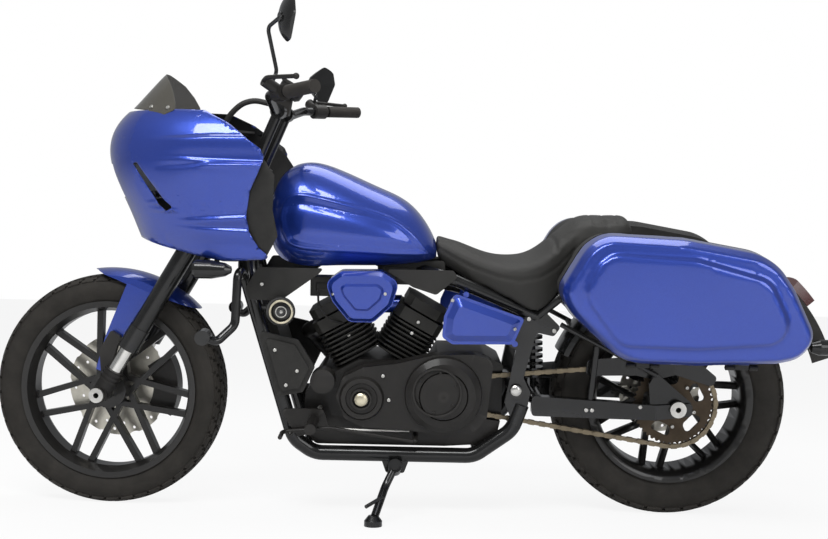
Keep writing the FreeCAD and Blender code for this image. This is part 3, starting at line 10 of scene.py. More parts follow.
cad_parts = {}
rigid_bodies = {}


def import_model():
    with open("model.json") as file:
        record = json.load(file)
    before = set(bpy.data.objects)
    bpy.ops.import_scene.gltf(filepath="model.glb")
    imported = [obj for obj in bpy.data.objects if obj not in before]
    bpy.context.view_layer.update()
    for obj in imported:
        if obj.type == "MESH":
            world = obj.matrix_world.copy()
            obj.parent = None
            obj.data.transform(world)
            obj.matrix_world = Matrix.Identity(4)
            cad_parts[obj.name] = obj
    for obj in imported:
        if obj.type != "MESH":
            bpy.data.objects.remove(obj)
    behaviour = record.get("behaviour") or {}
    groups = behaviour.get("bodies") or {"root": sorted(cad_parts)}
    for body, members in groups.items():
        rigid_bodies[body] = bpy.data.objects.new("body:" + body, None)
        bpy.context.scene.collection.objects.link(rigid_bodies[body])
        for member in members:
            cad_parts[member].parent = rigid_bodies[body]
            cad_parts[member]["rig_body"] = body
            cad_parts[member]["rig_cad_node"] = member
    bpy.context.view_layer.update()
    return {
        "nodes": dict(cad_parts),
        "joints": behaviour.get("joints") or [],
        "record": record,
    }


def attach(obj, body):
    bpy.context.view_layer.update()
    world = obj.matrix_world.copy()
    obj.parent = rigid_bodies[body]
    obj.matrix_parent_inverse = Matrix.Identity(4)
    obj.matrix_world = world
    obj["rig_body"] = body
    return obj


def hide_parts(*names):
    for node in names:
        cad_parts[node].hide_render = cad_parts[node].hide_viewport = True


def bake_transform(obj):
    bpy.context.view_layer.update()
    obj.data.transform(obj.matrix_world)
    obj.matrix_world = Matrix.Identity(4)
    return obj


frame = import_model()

bpy.context.scene.view_settings.view_transform = "Standard"
MM = 0.001
WELD = 0.00002     # points closer than this are one, in metres

# ---- places, from the frame's joints --------------------------------------------------------------------
JOINTS = {joint["name"]: joint for joint in frame["joints"]}
WHEELBASE = 1.6
REAR_RADIUS, FRONT_RADIUS = 0.336, 0.330


def pos(name):
    return Vector(JOINTS[name]["pos_m"])


def axis(name):
    return Vector(JOINTS[name]["axis"])


# The upright machine: x = 0 between the wheels, -x ahead, -y its left, z = 0 the floor. PARKED leans it.
REAR_AXLE = Vector((WHEELBASE / 2, 0, REAR_RADIUS))
FRONT_AXLE = Vector((-WHEELBASE / 2, 0, FRONT_RADIUS))
LEAN = math.atan2(axis("rear_wheel_spin").z, axis("rear_wheel_spin").y)
PARKED = (Matrix.Translation(pos("rear_wheel_spin")) @ Matrix.Rotation(LEAN, 4, "X")
          @ Matrix.Translation(-REAR_AXLE))
STRAIGHT = math.radians(sum(JOINTS["steering"]["range_deg"]) / 2)
TURNED = (Matrix.Translation(pos("steering")) @ Matrix.Rotation(-STRAIGHT, 4, axis("steering"))
          @ Matrix.Translation(-pos("steering")) @ PARKED)
LEFT, BOTH_SIDES = (-1,), (-1, 1)


def at(x, y, z):
    """A point of the upright machine, from millimetres."""
    return Vector((x, y, z)) * MM


# ---- camera -------------------------------------------------------------------------------------------
def add_camera():
    """A standing viewer on the machine's left."""
    place = Vector((-0.0237, -3.1279, 0.6388))
    yaw, pitch, roll = (math.radians(angle) for angle in (-0.419, 0.874, -1.251))
    lens = bpy.data.cameras.new("camera")
    lens.sensor_width, lens.lens = 36, 48.29
    camera = bpy.data.objects.new("camera", lens)
    bpy.context.scene.collection.objects.link(camera)
    camera.matrix_world = (Matrix.Translation(place) @ Matrix.Rotation(yaw, 4, "Z")
                           @ Matrix.Rotation(pitch, 4, "X") @ Matrix.Rotation(roll, 4, "Y")
                           @ Matrix.Rotation(math.pi / 2, 4, "X"))
    bpy.context.scene.camera = camera


# ---- finishes -----------------------------------------------------------------------------------------
class Wire:
    """A value in a finish's node tree, with arithmetic."""

    def __init__(self, finish, socket):
        self.finish, self.socket = finish, socket

    def _math(self, operation, *values):
        return self.finish.node("ShaderNodeMath", {"operation": operation}, dict(enumerate(values)))

    def __add__(self, other):
        return self._math("ADD", self, other)

    def __radd__(self, other):
        return self._math("ADD", other, self)

    def __rsub__(self, other):
        return self._math("SUBTRACT", other, self)

    def __mul__(self, other):
        return self._math("MULTIPLY", self, other)

    def __rmul__(self, other):
        return self._math("MULTIPLY", other, self)


class Finish:
    """One procedural finish: constants on its shader, and the nodes that vary it over the surface."""

    def __init__(self, name, **constants):
        self.material = bpy.data.materials.new(name)
        self.material.use_nodes = True
        self.tree = self.material.node_tree
        self.shader = self.tree.nodes["Principled BSDF"]
        for socket, value in constants.items():
            self.shader.inputs[socket.replace("_", " ")].default_value = value

    def node(self, kind, settings=None, sockets=None, out=0):
        made = self.tree.nodes.new(kind)
        for key, value in (settings or {}).items():
            setattr(made, key, value)
        for key, value in (sockets or {}).items():
            if isinstance(value, Wire):
                self.tree.links.new(value.socket, made.inputs[key])
            else:
                made.inputs[key].default_value = value
        return Wire(self, made.outputs[out])

    def places(self):
        return self.node("ShaderNodeTexCoord", out="Object")

    def noise(self, scale, detail=4, rough=0.6):
        return self.node("ShaderNodeTexNoise", {}, {
            "Vector": self.places(), "Scale": scale, "Detail": detail, "Roughness": rough})

    def voronoi(self, scale, feature="F1", out="Distance"):
        return self.node("ShaderNodeTexVoronoi", {"feature": feature}, {
            "Vector": self.places(), "Scale": scale}, out)

    def ramp(self, factor, low, high):
        """A value that rises from 0 where the factor is low to 1 where it is high."""
        rise = self.node("ShaderNodeValToRGB", {}, {0: factor})
        for element, place in zip(rise.socket.node.color_ramp.elements, (low, high)):
            element.position = place
        return rise

    def mixed(self, factor, first, second):
        """Colours blended by a value; the first may be a blend itself."""
        start = first if isinstance(first, Wire) else (*first, 1)
        return self.node("ShaderNodeMix", {"data_type": "RGBA"}, {0: factor, 6: start, 7: (*second, 1)}, 2)

    def marked(self, name):
        """A value that mark() stored on the piece, 0 where there is none."""
        return self.node("ShaderNodeAttribute", {"attribute_name": name}, out="Fac")

    def worn(self, low, high):
        """1 at exposed edges, 0 in hollows and on flats, between two pointiness values."""
        return self.ramp(self.node("ShaderNodeNewGeometry", out="Pointiness"), low, high)

    def feed(self, **wires):
        for socket, wire in wires.items():
            self.tree.links.new(wire.socket, self.shader.inputs[socket.replace("_", " ")])
        return self

    def bump(self, height, distance, strength):
        bump = self.node("ShaderNodeBump", {}, {
            "Strength": strength, "Distance": distance, "Height": height})
        return self.feed(Normal=bump)


def scaled(shade, times, plus):
    """A colour made paler or darker."""
    return tuple(channel * times + plus for channel in shade)


def blue_paint():
    """Metallic blue under clear lacquer, with fine flakes and a soft orange peel; bare black inside."""
    paint = Finish("blue_paint", Coat_Roughness=0.04, Specular_IOR_Level=0.5)
    bare = paint.marked("inner")
    flakes = paint.voronoi(2600, out="Color")
    sparkle = paint.ramp(flakes, 0.45, 0.85)
    cloud = paint.noise(3.0, 2)
    shade = paint.mixed(cloud, (0.011, 0.036, 0.29), (0.016, 0.047, 0.35))
    shade = paint.mixed(sparkle * 0.35, shade, (0.06, 0.15, 0.70))
    shade = paint.mixed(bare, shade, (0.008, 0.008, 0.008))
    paint.feed(Base_Color=shade, Roughness=0.32 + sparkle * 0.08 + bare * 0.2, Metallic=0.66 * (1 - bare),
               Coat_Weight=(1.0 - cloud * 0.04) * (1 - bare))
    return paint.bump(paint.noise(220, 2) + sparkle * 0.1, 0.00012, 0.25)


def black_paint(name, shade, rough, coat, grain):
    """Stove enamel: even black, slight orange peel, dust and paler edges; polished where marked as steel."""
    paint = Finish(name, Specular_IOR_Level=0.24, Coat_Roughness=0.06)
    steel = paint.marked("steel")
    dust = paint.noise(14, 5)
    edge = paint.worn(0.52, 0.60)
    body = paint.mixed(paint.ramp(dust, 0.40, 0.75) * 0.5, shade, scaled(shade, 1.7, 0.003))
    body = paint.mixed(edge * 0.35, body, scaled(shade, 3, 0.010))
    body = paint.mixed(steel, body, (0.60, 0.57, 0.50))
    paint.feed(Base_Color=body, Roughness=rough + dust * 0.12, Metallic=steel,
               Coat_Weight=(coat - dust * coat * 0.2) * (1 - steel))
    return paint.bump(paint.noise(grain, 3), 0.0002, 0.3)


def bare_metal(name, shade, rough, grain=900):
    """Machined or polished metal with fine tool marks and faint stains."""
    metal = Finish(name, Metallic=1.0)
    stain = metal.noise(22, 5)
    marks = metal.noise(grain, 2)
    tone = metal.mixed(metal.ramp(stain, 0.42, 0.72) * 0.6, shade, scaled(shade, 0.6, 0))
    metal.feed(Base_Color=tone, Roughness=rough + stain * 0.12 + marks * 0.05)
    return metal.bump(marks, 0.00008, 0.3)


def rubber(name, shade, rough, grain, depth):
    """Rubber or moulded plastic with a fine matt grain and a paler bloom of dust."""
    soft = Finish(name, Specular_IOR_Level=0.3)
    bloom = soft.noise(18, 6, 0.65)
    edge = soft.worn(0.52, 0.62)
    body = soft.mixed(soft.ramp(bloom, 0.38, 0.72), shade, scaled(shade, 1.6, 0.002))
    body = soft.mixed(edge * 0.3, body, scaled(shade, 2.6, 0.006))
    soft.feed(Base_Color=body, Roughness=rough + bloom * 0.14)
    return soft.bump(soft.voronoi(grain) + soft.noise(grain * 0.6, 3), depth, 0.5)


def leather():
    """Black seat leather: pebbled grain, finer pores, a sheen that varies over it."""
    hide = Finish("leather", Specular_IOR_Level=0.4)
    pebble = hide.voronoi(620, feature="SMOOTH_F1")
    pores = hide.noise(1500, 3)
    cloud = hide.noise(7, 4)
    body = hide.mixed(cloud, (0.011, 0.0105, 0.0095), (0.026, 0.025, 0.022))
    hide.feed(Base_Color=body, Roughness=0.50 + cloud * 0.16 + pebble * 0.1)
    return hide.bump(pebble + pores * 0.35, 0.0006, 0.55)


def glassy(name, shade, alpha, rough):
    """Moulded clear or tinted lens with faint mould waves and dust."""
    lens = Finish(name, IOR=1.49, Specular_IOR_Level=0.6)
    haze = lens.noise(9, 4)
    body = lens.mixed(haze * 0.4, shade, tuple(min(1, channel) for channel in scaled(shade, 1.4, 0.02)))
    lens.feed(Base_Color=body, Roughness=rough + haze * 0.06, Alpha=alpha + haze * 0.06)
    return lens.bump(lens.noise(60, 2), 0.0002, 0.1)


FINISHES = {
    "blue_paint": blue_paint(),
    "gloss_black": black_paint("gloss_black", (0.007, 0.007, 0.007), 0.18, 0.45, 160),
    "satin_black": black_paint("satin_black", (0.012, 0.011, 0.010), 0.38, 0.10, 900),
    "fin_black": black_paint("fin_black", (0.013, 0.0125, 0.011), 0.50, 0.0, 1400),
    "bright_steel": bare_metal("bright_steel", (0.62, 0.61, 0.58), 0.22),
    "chain_steel": bare_metal("chain_steel", (0.24, 0.20, 0.14), 0.36, 500),
    "exhaust_black": black_paint("exhaust_black", (0.011, 0.0105, 0.010), 0.44, 0.0, 700),
    "plastic": rubber("plastic", (0.013, 0.0125, 0.0115), 0.50, 1300, 0.00025),
    "horn": black_paint("horn", (0.020, 0.020, 0.020), 0.22, 0.4, 300),
    "leather": leather(),
    "red_lens": glassy("red_lens", (0.050, 0.004, 0.004), 0.97, 0.12),
    "smoke_screen": glassy("smoke_screen", (0.075, 0.070, 0.058), 0.74, 0.05),
    "lamp_glass": glassy("lamp_glass", (0.75, 0.78, 0.80), 0.35, 0.04),
    "tyre": rubber("tyre", (0.017, 0.015, 0.0125), 0.66, 1500, 0.0003),
    "wheel_black": black_paint("wheel_black", (0.010, 0.0095, 0.009), 0.28, 0.35, 500),
    "sprocket_steel": bare_metal("sprocket_steel", (0.075, 0.058, 0.042), 0.44, 400),
    "fork_chrome": bare_metal("fork_chrome", (0.72, 0.71, 0.68), 0.10),
    "grip_rubber": rubber("grip_rubber", (0.018, 0.016, 0.014), 0.64, 900, 0.0004),
    "cream_zinc": bare_metal("cream_zinc", (0.72, 0.66, 0.50), 0.30, 300),
    "disc_steel": bare_metal("disc_steel", (0.66, 0.63, 0.55), 0.26, 700),
}


def dress_nodes():
    """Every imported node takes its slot's finish."""
    for part in frame["record"]["subparts"]:
        mesh = frame["nodes"][part["node"]].data
        mesh.materials.clear()
        mesh.materials.append(FINISHES[part["material_slot"]].material)


def deselect():
    if bpy.context.object and bpy.context.object.mode != "OBJECT":
        bpy.ops.object.mode_set(mode="OBJECT")
    bpy.ops.object.select_all(action="DESELECT")


def select_by(kind):
    """Sets edit mode to read the selection of edges or of faces that the code has made."""
    bpy.context.tool_settings.mesh_select_mode = (False, kind == "edges", kind == "faces")


def finished(piece, name, body, finish, place=PARKED, smooth=32):
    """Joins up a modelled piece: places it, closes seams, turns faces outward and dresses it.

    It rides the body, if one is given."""
    deselect()
    piece.select_set(True)
    bpy.context.view_layer.objects.active = piece
    bpy.ops.object.transform_apply(location=True, rotation=True, scale=True)
    piece.data.transform(place)
    bpy.ops.object.mode_set(mode="EDIT")
    bpy.ops.mesh.select_all(action="SELECT")
    bpy.ops.mesh.remove_doubles(threshold=WELD)
    bpy.ops.mesh.normals_make_consistent(inside=False)
    bpy.ops.object.mode_set(mode="OBJECT")
    bpy.ops.object.shade_smooth_by_angle(angle=math.radians(smooth))
    piece.name = piece.data.name = name
    piece.data.materials.clear()
    piece.data.materials.append(FINISHES[finish].material)
    if body:
        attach(piece, body)
    return piece


# ---- tyres --------------------------------------------------------------------------------------------
STEPS_PER_BLOCK = 5
TREAD_ROWS = [(0.0, 0.20, 0.0), (0.24, 0.61, 0.5), (0.64, 0.93, 0.0)]    # from, to across, shift along
GROOVE, SKEW = 0.2, 0.25     # share of a block's length that is open, and how far a groove runs ahead


def tyre_section(half, outer, rim, depth):
    """Half a tyre's section from bead to crown, as (across, radius)."""
    wall, crown = outer - rim, outer - depth
    return [(half * 0.74, rim - 0.004), (half * 0.80, rim + 0.004),
            (half * 0.90, rim + wall * 0.18), (half * 0.985, rim + wall * 0.38),
            (half, rim + wall * 0.50), (half * 0.965, rim + wall * 0.64),
            (half * 0.90, rim + wall * 0.74), (half * 0.80, crown - wall * 0.13),
            (half * 0.66, crown - wall * 0.065), (half * 0.60, crown - wall * 0.05),
            (half * 0.40, crown - wall * 0.02), (half * 0.24, crown - wall * 0.006),
            (half * 0.19, crown - wall * 0.004), (0, crown)]


def tyre(name, node, body, centre, place, half, outer, rim, blocks, depth):
    """A tyre spun from its section, with rows of tread blocks raised from the carcass."""
    deselect()
    section = tyre_section(half, outer, rim, depth)
    outline = section + [(-across, radius) for across, radius in reversed(section[:-1])]
    bpy.ops.mesh.primitive_circle_add(vertices=len(outline), radius=half, location=centre)
    carcass = bpy.context.object
    for vertex, (across, radius) in zip(carcass.data.vertices, outline):
        vertex.co = (0, across, radius)
    bpy.ops.object.mode_set(mode="EDIT")
    bpy.ops.mesh.select_all(action="SELECT")
    bpy.ops.mesh.spin(steps=blocks * STEPS_PER_BLOCK, angle=2 * math.pi, center=centre, axis=(0, 1, 0))
    bpy.ops.mesh.select_all(action="SELECT")
    bpy.ops.mesh.remove_doubles(threshold=0.00005)
    bpy.ops.mesh.normals_make_consistent(inside=False)
    bpy.ops.mesh.select_all(action="DESELECT")
    bpy.ops.object.mode_set(mode="OBJECT")
    tread_from = rim + (outer - rim) * 0.66
    for face in carcass.data.polygons:
        middle = face.center
        radius = math.hypot(middle.x, middle.z)
        across = abs(middle.y) / half
        turn = (math.atan2(middle.z, middle.x) / (2 * math.pi)) * blocks
        for low, high, shift in TREAD_ROWS:
            if low <= across < high and radius > tread_from:
                skew = shift + SKEW * across * (1 if middle.y > 0 else -1)
                if (turn + skew) % 1.0 > GROOVE:
                    face.select = True
    select_by("faces")
    bpy.ops.object.mode_set(mode="EDIT")
    bpy.ops.mesh.extrude_region_shrink_fatten(TRANSFORM_OT_shrink_fatten={"value": depth})
    bpy.ops.object.mode_set(mode="OBJECT")
    finished(carcass, name, body, "tyre", place, 28)
    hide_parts(node)


# ---- bodywork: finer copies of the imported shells, sculpted ------------------------------------------------
def fine_copy(node, longest, rounds=6):
    """A copy of a node's mesh, merged, with every edge over a length divided.

    The length is in metres, or a function from upright places to lengths in metres."""
    deselect()
    piece = frame["nodes"][node].copy()
    piece.data = piece.data.copy()
    piece.parent = None
    piece.hide_render = False
    bpy.context.scene.collection.objects.link(piece)
    piece.select_set(True)
    bpy.context.view_layer.objects.active = piece
    bpy.ops.object.mode_set(mode="EDIT")
    bpy.ops.mesh.select_all(action="SELECT")
    bpy.ops.mesh.remove_doubles(threshold=WELD)
    bpy.ops.object.mode_set(mode="OBJECT")
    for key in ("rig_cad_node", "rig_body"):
        if key in piece:
            del piece[key]
    for _ in range(rounds):
        mesh = piece.data
        places = vertex_places(piece)
        ends = np.zeros(len(mesh.edges) * 2, int)
        mesh.edges.foreach_get("vertices", ends)
        ends = ends.reshape(-1, 2)
        starts, stops = places[ends[:, 0]], places[ends[:, 1]]
        limit = longest(upright((starts + stops) / 2, home(node))) if callable(longest) else longest
        long = np.linalg.norm(starts - stops, axis=1) > limit
        if not long.any():
            break
        mesh.vertices.foreach_set("select", np.zeros(len(mesh.vertices), bool))
        mesh.polygons.foreach_set("select", np.zeros(len(mesh.polygons), bool))
        mesh.edges.foreach_set("select", long)
        select_by("edges")
        bpy.ops.object.mode_set(mode="EDIT")
        bpy.ops.mesh.subdivide(number_cuts=1, quadcorner="STRAIGHT_CUT")
        bpy.ops.mesh.select_all(action="SELECT")
        bpy.ops.mesh.quads_convert_to_tris()
        bpy.ops.object.mode_set(mode="OBJECT")
    return piece


def vertex_places(piece):
    places = np.zeros(len(piece.data.vertices) * 3)
    piece.data.vertices.foreach_get("co", places)
    return places.reshape(-1, 3)


def upright(places, place=PARKED):
    """Points of the parked machine brought back upright, in millimetres."""
    back = np.array(place.inverted())
    return (places @ back[:3, :3].T + back[:3, 3]) / MM


def vertex_normals(piece):
    """The normals of a piece's points, as they lie and on the upright machine."""
    normals = np.zeros(len(piece.data.vertices) * 3)
    piece.data.vertices.foreach_get("normal", normals)
    normals = normals.reshape(-1, 3)
    return normals, normals @ np.array(PARKED.inverted())[:3, :3].T


def move_points(piece, places):
    piece.data.vertices.foreach_set("co", places.ravel())
    piece.data.update()


def sculpt(piece, relief):
    """Moves each point along its normal by the relief, in millimetres, at its upright place and normal."""
    places = vertex_places(piece)
    normals, upright_normals = vertex_normals(piece)
    depth = relief(upright(places), upright_normals)
    move_points(piece, places + normals * depth[:, None] * MM)


def press(piece, depth):
    """Moves each point straight out from the middle plane by a depth in millimetres, at its upright place."""
    places = vertex_places(piece)
    points = upright(places)
    out = np.array(PARKED.to_3x3() @ Vector((0, 1, 0)))
    reach = depth(points) * np.sign(points[:, 1])
    move_points(piece, places + reach[:, None] * out * MM)


def mark(piece, name, share):
    """Stores a value from 0 to 1 at each point, which a finish reads by its name."""
    layer = piece.data.attributes.new(name, "FLOAT", "POINT")
    layer.data.foreach_set("value", np.asarray(share, np.float32))


def on_inner_wall(piece, middle):
    """Which points of a shell face towards an upright middle, in millimetres."""
    _, turned = vertex_normals(piece)
    return ((upright(vertex_places(piece)) - np.array(middle)) * turned).sum(axis=1) < 0


def apply_modifier(piece, name):
    deselect()
    bpy.context.view_layer.objects.active = piece
    bpy.ops.object.modifier_apply(modifier=name)


def eased(piece, passes, chosen=None):
    """Rounds a piece's edges by averaging neighbours, where chosen is true."""
    group = piece.vertex_groups.new(name="eased")
    picked = np.arange(len(piece.data.vertices)) if chosen is None else np.nonzero(chosen)[0]
    group.add(picked.tolist(), 1.0, "REPLACE")
    smooth = piece.modifiers.new("ease", "SMOOTH")
    smooth.factor, smooth.iterations, smooth.vertex_group = 0.5, passes, "eased"
    apply_modifier(piece, "ease")
    piece.vertex_groups.clear()


def dressed(piece, name, node, finish, smooth=40):
    """Finishes a sculpted copy of a node, which already lies in place."""
    body = frame["nodes"][node]["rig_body"]
    deselect()
    piece.select_set(True)
    bpy.context.view_layer.objects.active = piece
    bpy.ops.object.shade_smooth_by_angle(angle=math.radians(smooth))
    piece.name = piece.data.name = name
    piece.data.materials.clear()
    piece.data.materials.append(FINISHES[finish].material)
    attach(piece, body)
    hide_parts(node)


def step(values, low, high):
    """Smooth rise from 0 at low to 1 at high."""
    share = np.clip((values - low) / (high - low), 0, 1)
    return share * share * (3 - 2 * share)


def above(points, line):
    """Height over a line of (x, z) points, seen from the side."""
    xs, zs = zip(*line)
    return points[:, 2] - np.interp(points[:, 0], xs, zs)


def shoulder(points, line, height, fall):
    """A pressed shoulder along a line of (x, z): steep where it faces up, fading out below."""
    over = above(points, line)
    first, last = line[0][0], line[-1][0]
    grown = step(points[:, 0], first, first + 0.4 * (last - first))
    ended = step(points[:, 0], last - 4, last + 12)
    return height * (1 - step(over, -4, 7)) * step(over, -fall, -5) * (grown * (1 - ended))


def loop_distance(points, corners, samples=10):
    """Signed distance in side view to a rounded closed loop, positive inside."""
    loop = []
    count = len(corners)
    for i in range(count):
        a, b, c, d = (np.array(corners[(i + k) % count], float) for k in (-1, 0, 1, 2))
        for t in np.arange(samples) / samples:
            loop.append(0.5 * (2 * b + (c - a) * t + (2 * a - 5 * b + 4 * c - d) * t * t
                               + (3 * b - a - 3 * c + d) * t ** 3))
    loop = np.array(loop)
    following = np.roll(loop, -1, axis=0)
    flat = points[:, [0, 2]]
    nearest = np.full(len(flat), 1e9)
    inside = np.zeros(len(flat), bool)
    for start, end in zip(loop, following):
        run = end - start
        share = np.clip(((flat - start) @ run) / (run @ run), 0, 1)
        nearest = np.minimum(nearest, np.linalg.norm(flat - start - share[:, None] * run, axis=1))
        crosses = (start[1] > flat[:, 1]) != (end[1] > flat[:, 1])
        with np.errstate(divide="ignore", invalid="ignore"):
            cut = start[0] + (flat[:, 1] - start[1]) * run[0] / (run[1] if run[1] else 1e-9)
        inside ^= crosses & (flat[:, 0] < cut)
    return np.where(inside, nearest, -nearest)


FAIRING_CREASES = [    # line of (x, z), height, how far it fades below
    ([(-665, 1049), (-553, 1054), (-475, 1059), (-330, 1061)], 11.0, 60),
    ([(-652, 998), (-552, 1000), (-474, 996), (-330, 992)], 6.0, 22),
    ([(-640, 966), (-552, 976), (-474, 986), (-330, 990)], 11.0, 110),
    ([(-590, 834), (-500, 842), (-440, 847), (-330, 855)], 8.5, 30),
    ([(-600, 818), (-500, 816), (-440, 815), (-330, 813)], 8.5, 50),
    ([(-672, 878), (-640, 882), (-600, 887)], 3.0, 12),
    ([(-660, 864), (-640, 864), (-570, 864)], 3.0, 14)]
FAIRING_MIDDLE = (-430, 0, 930)
FAIRING_FLANK = (130, 200)    # across: where the shoulders start, and where they are full
FINE, COARSE = 0.0055, 0.015    # longest edges near a crease and elsewhere, in metres


def fairing():
    """Fairing shell with its side shoulders pressed through both walls, black inside."""
    def fine(points):
        near = np.min([np.abs(above(points, line)) for line, _, _ in FAIRING_CREASES], axis=0)
        return np.where((near < 16) & (np.abs(points[:, 1]) > FAIRING_FLANK[0] - 10), FINE, COARSE)

    shell = fine_copy("fairing", fine, 7)

    def depth(points):
        total = sum(shoulder(points, *crease) for crease in FAIRING_CREASES)
        return total * step(np.abs(points[:, 1]), *FAIRING_FLANK)
    press(shell, depth)
    mark(shell, "inner", on_inner_wall(shell, FAIRING_MIDDLE))
    dressed(shell, "fairing_shell", "fairing", "blue_paint")


TANK_PANEL = [(-306, 848), (-289, 889), (-245, 905), (-122, 880), (-15, 850), (44, 815), (93, 762), (88, 746),
              (-65, 753), (-253, 764), (-292, 795)]
TANK_FLANK = (70, 100)    # across: where the panel's line starts, and where it is full
TANK_RIDGE, TANK_GROOVE = 2.7, 2.6


def tank():
    """Tank with a double pressed line round each side panel."""
    def fine(points):
        near = np.abs(loop_distance(points, TANK_PANEL, 4) - 6) < 22
        return np.where(near & (np.abs(points[:, 1]) > TANK_FLANK[0]), 0.0045, 0.013)

    shell = fine_copy("tank", fine)

    def depth(points):
        inside = loop_distance(points, TANK_PANEL)
        ridge = TANK_RIDGE * step(inside, -7, 0) * (1 - step(inside, 2, 9))
        groove = TANK_GROOVE * step(inside, 8, 17) * (1 - step(inside, 20, 44))
        return step(np.abs(points[:, 1]), *TANK_FLANK) * (ridge - groove)
    press(shell, depth)
    dressed(shell, "tank_shell", "tank", "blue_paint", 60)


def even_skin(piece, size):
    """Gives a closed piece an even mesh, so that easing it leaves no dents."""
    remesh = piece.modifiers.new("even", "REMESH")
    remesh.mode, remesh.voxel_size = "VOXEL", size
    apply_modifier(piece, "even")


BAG_MIDDLE_Y = 250
LID_WALL = (288, 304)    # across: where the lid's outer wall starts, and where it is full
LID_THICKENED = 4.0
LID_ROUNDED_Y, LID_ROUNDED_Z = 290, 500    # edges further out and higher than this are rounded
LID_LIP_Z = 496    # the lip below this is left unpainted


def bag_lid(node, side):
    """Saddlebag lid with its edges and raised face rounded, as drawn from sheet.

    Its inner wall is first moved inward, so that the even skin has no holes."""
    shell = fine_copy(node, 0.012)
    centre = upright(vertex_places(shell)).mean(axis=0)
    centre[1] = BAG_MIDDLE_Y * side
    inner = on_inner_wall(shell, centre)
    press(shell, lambda points: -LID_THICKENED * inner * step(points[:, 1] * side, *LID_WALL))
    even_skin(shell, 0.004)
    points = upright(vertex_places(shell))
    eased(shell, 16, (points[:, 1] * side > LID_ROUNDED_Y) & (points[:, 2] > LID_ROUNDED_Z))
    eased(shell, 2)
    mark(shell, "inner", points[:, 2] < LID_LIP_Z)
    dressed(shell, node.replace("bag_lid", "lid_shell"), node, "blue_paint", 60)


# ---- seat ---------------------------------------------------------------------------------------------
SEAT_SEAM = [(120, 766), (165, 742), (221, 715), (294, 693), (351, 686), (408, 697), (450, 722), (482, 752),
             (525, 790), (590, 806), (668, 810)]
SEAT_CHANNELS = [(452, 5.0, 1), (560, 4.0, 0.5), (596, 4.0, 0.5), (632, 4.0, 0.5)]    # x, width, depth
CLOTH_FRAMES = 16
STUFFED_OUT = 0.004    # the furthest that the cover blows up, in metres


def seam_height(points):
    return np.interp(points[:, 0], *zip(*SEAT_SEAM))


def line_at(distance, width):
    """A soft line, 1 in its middle."""
    return np.exp(-(distance / width) ** 2)


def seat():
    """Padded seat: blown up a little inside its cover, then drawn in along its sewn lines."""
    cover = fine_copy("seat", 1.0, 0)
    even_skin(cover, 0.006)
    eased(cover, 6)
    start = vertex_places(cover)
    cloth = cover.modifiers.new("stuffing", "CLOTH")
    cloth.settings.use_pressure = True
    cloth.settings.uniform_pressure_force = 4
    cloth.settings.effector_weights.gravity = 0
    cloth.settings.quality = 5
    for number in range(1, CLOTH_FRAMES):
        bpy.context.scene.frame_set(number)
    apply_modifier(cover, "stuffing")
    bpy.context.scene.frame_set(1)
    moved = vertex_places(cover) - start
    far = np.linalg.norm(moved, axis=1, keepdims=True)
    moved *= np.minimum(1, STUFFED_OUT / np.maximum(far, 1e-9))
    points = upright(start)
    free = step(points[:, 2] - seam_height(points), -60, 0)[:, None]
    move_points(cover, start + moved * free)
    eased(cover, 3)

    def relief(points, normals):
        over = points[:, 2] - seam_height(points)
        side = step(np.abs(normals[:, 1]), 0.25, 0.6)
        top = step(normals[:, 2], 0.3, 0.7)
        sewn, piping = line_at(over, 4.0) * side, line_at(over - 7, 3.5) * side
        channels = sum(line_at(points[:, 0] - x, width) * deep for x, width, deep in SEAT_CHANNELS) * top
        return 1.0 * piping - 3.2 * sewn - 3.5 * channels
    sculpt(cover, relief)
    dressed(cover, "seat_cover", "seat", "leather", 60)


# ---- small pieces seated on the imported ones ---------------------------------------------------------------
def home(node):
    """The place that an upright node is brought to: turned with the fork, or only parked."""
    return TURNED if frame["nodes"][node]["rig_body"] in ("fork", "front_wheel") else PARKED


SKINS = {}
OUTSIDE = 700    # further across than any part of the machine
SUNK = -1    # how deep the foot of a cap or ring lies in the surface that carries it


def skin(node):
    """A node's surface on the upright machine, kept for the next question."""
    if node not in SKINS:
        mesh, back = frame["nodes"][node].data, home(node).inverted()
        SKINS[node] = BVHTree.FromPolygons([back @ vertex.co for vertex in mesh.vertices],
                                           [tuple(face.vertices) for face in mesh.polygons])
    return SKINS[node]


def seat_on(node, x, z, side):
    """Where a line from the side first meets a node at (x, z) millimetres, and the surface's normal there."""
    place, normal, _, _ = skin(node).ray_cast(at(x, side * OUTSIDE, z), Vector((0, -side, 0)))
    if place is None:
        raise ValueError(f"{node} has no surface at x {x}, z {z}, side {side}")
    return place, normal


def lathed(section, steps=36):
    """A piece spun about +Z from a closed section of (radius, height) in millimetres."""
    deselect()
    bpy.ops.mesh.primitive_circle_add(vertices=len(section), radius=1)
    piece = bpy.context.object
    for vertex, (radius, height) in zip(piece.data.vertices, section):
        vertex.co = (radius * MM, 0, height * MM)
    bpy.ops.object.mode_set(mode="EDIT")
    bpy.ops.mesh.select_all(action="SELECT")
    bpy.ops.mesh.spin(steps=steps, angle=2 * math.pi, center=(0, 0, 0), axis=(0, 0, 1))
    bpy.ops.mesh.select_all(action="SELECT")
    bpy.ops.mesh.remove_doubles(threshold=WELD)
    bpy.ops.mesh.normals_make_consistent(inside=False)
    bpy.ops.object.mode_set(mode="OBJECT")
    return piece


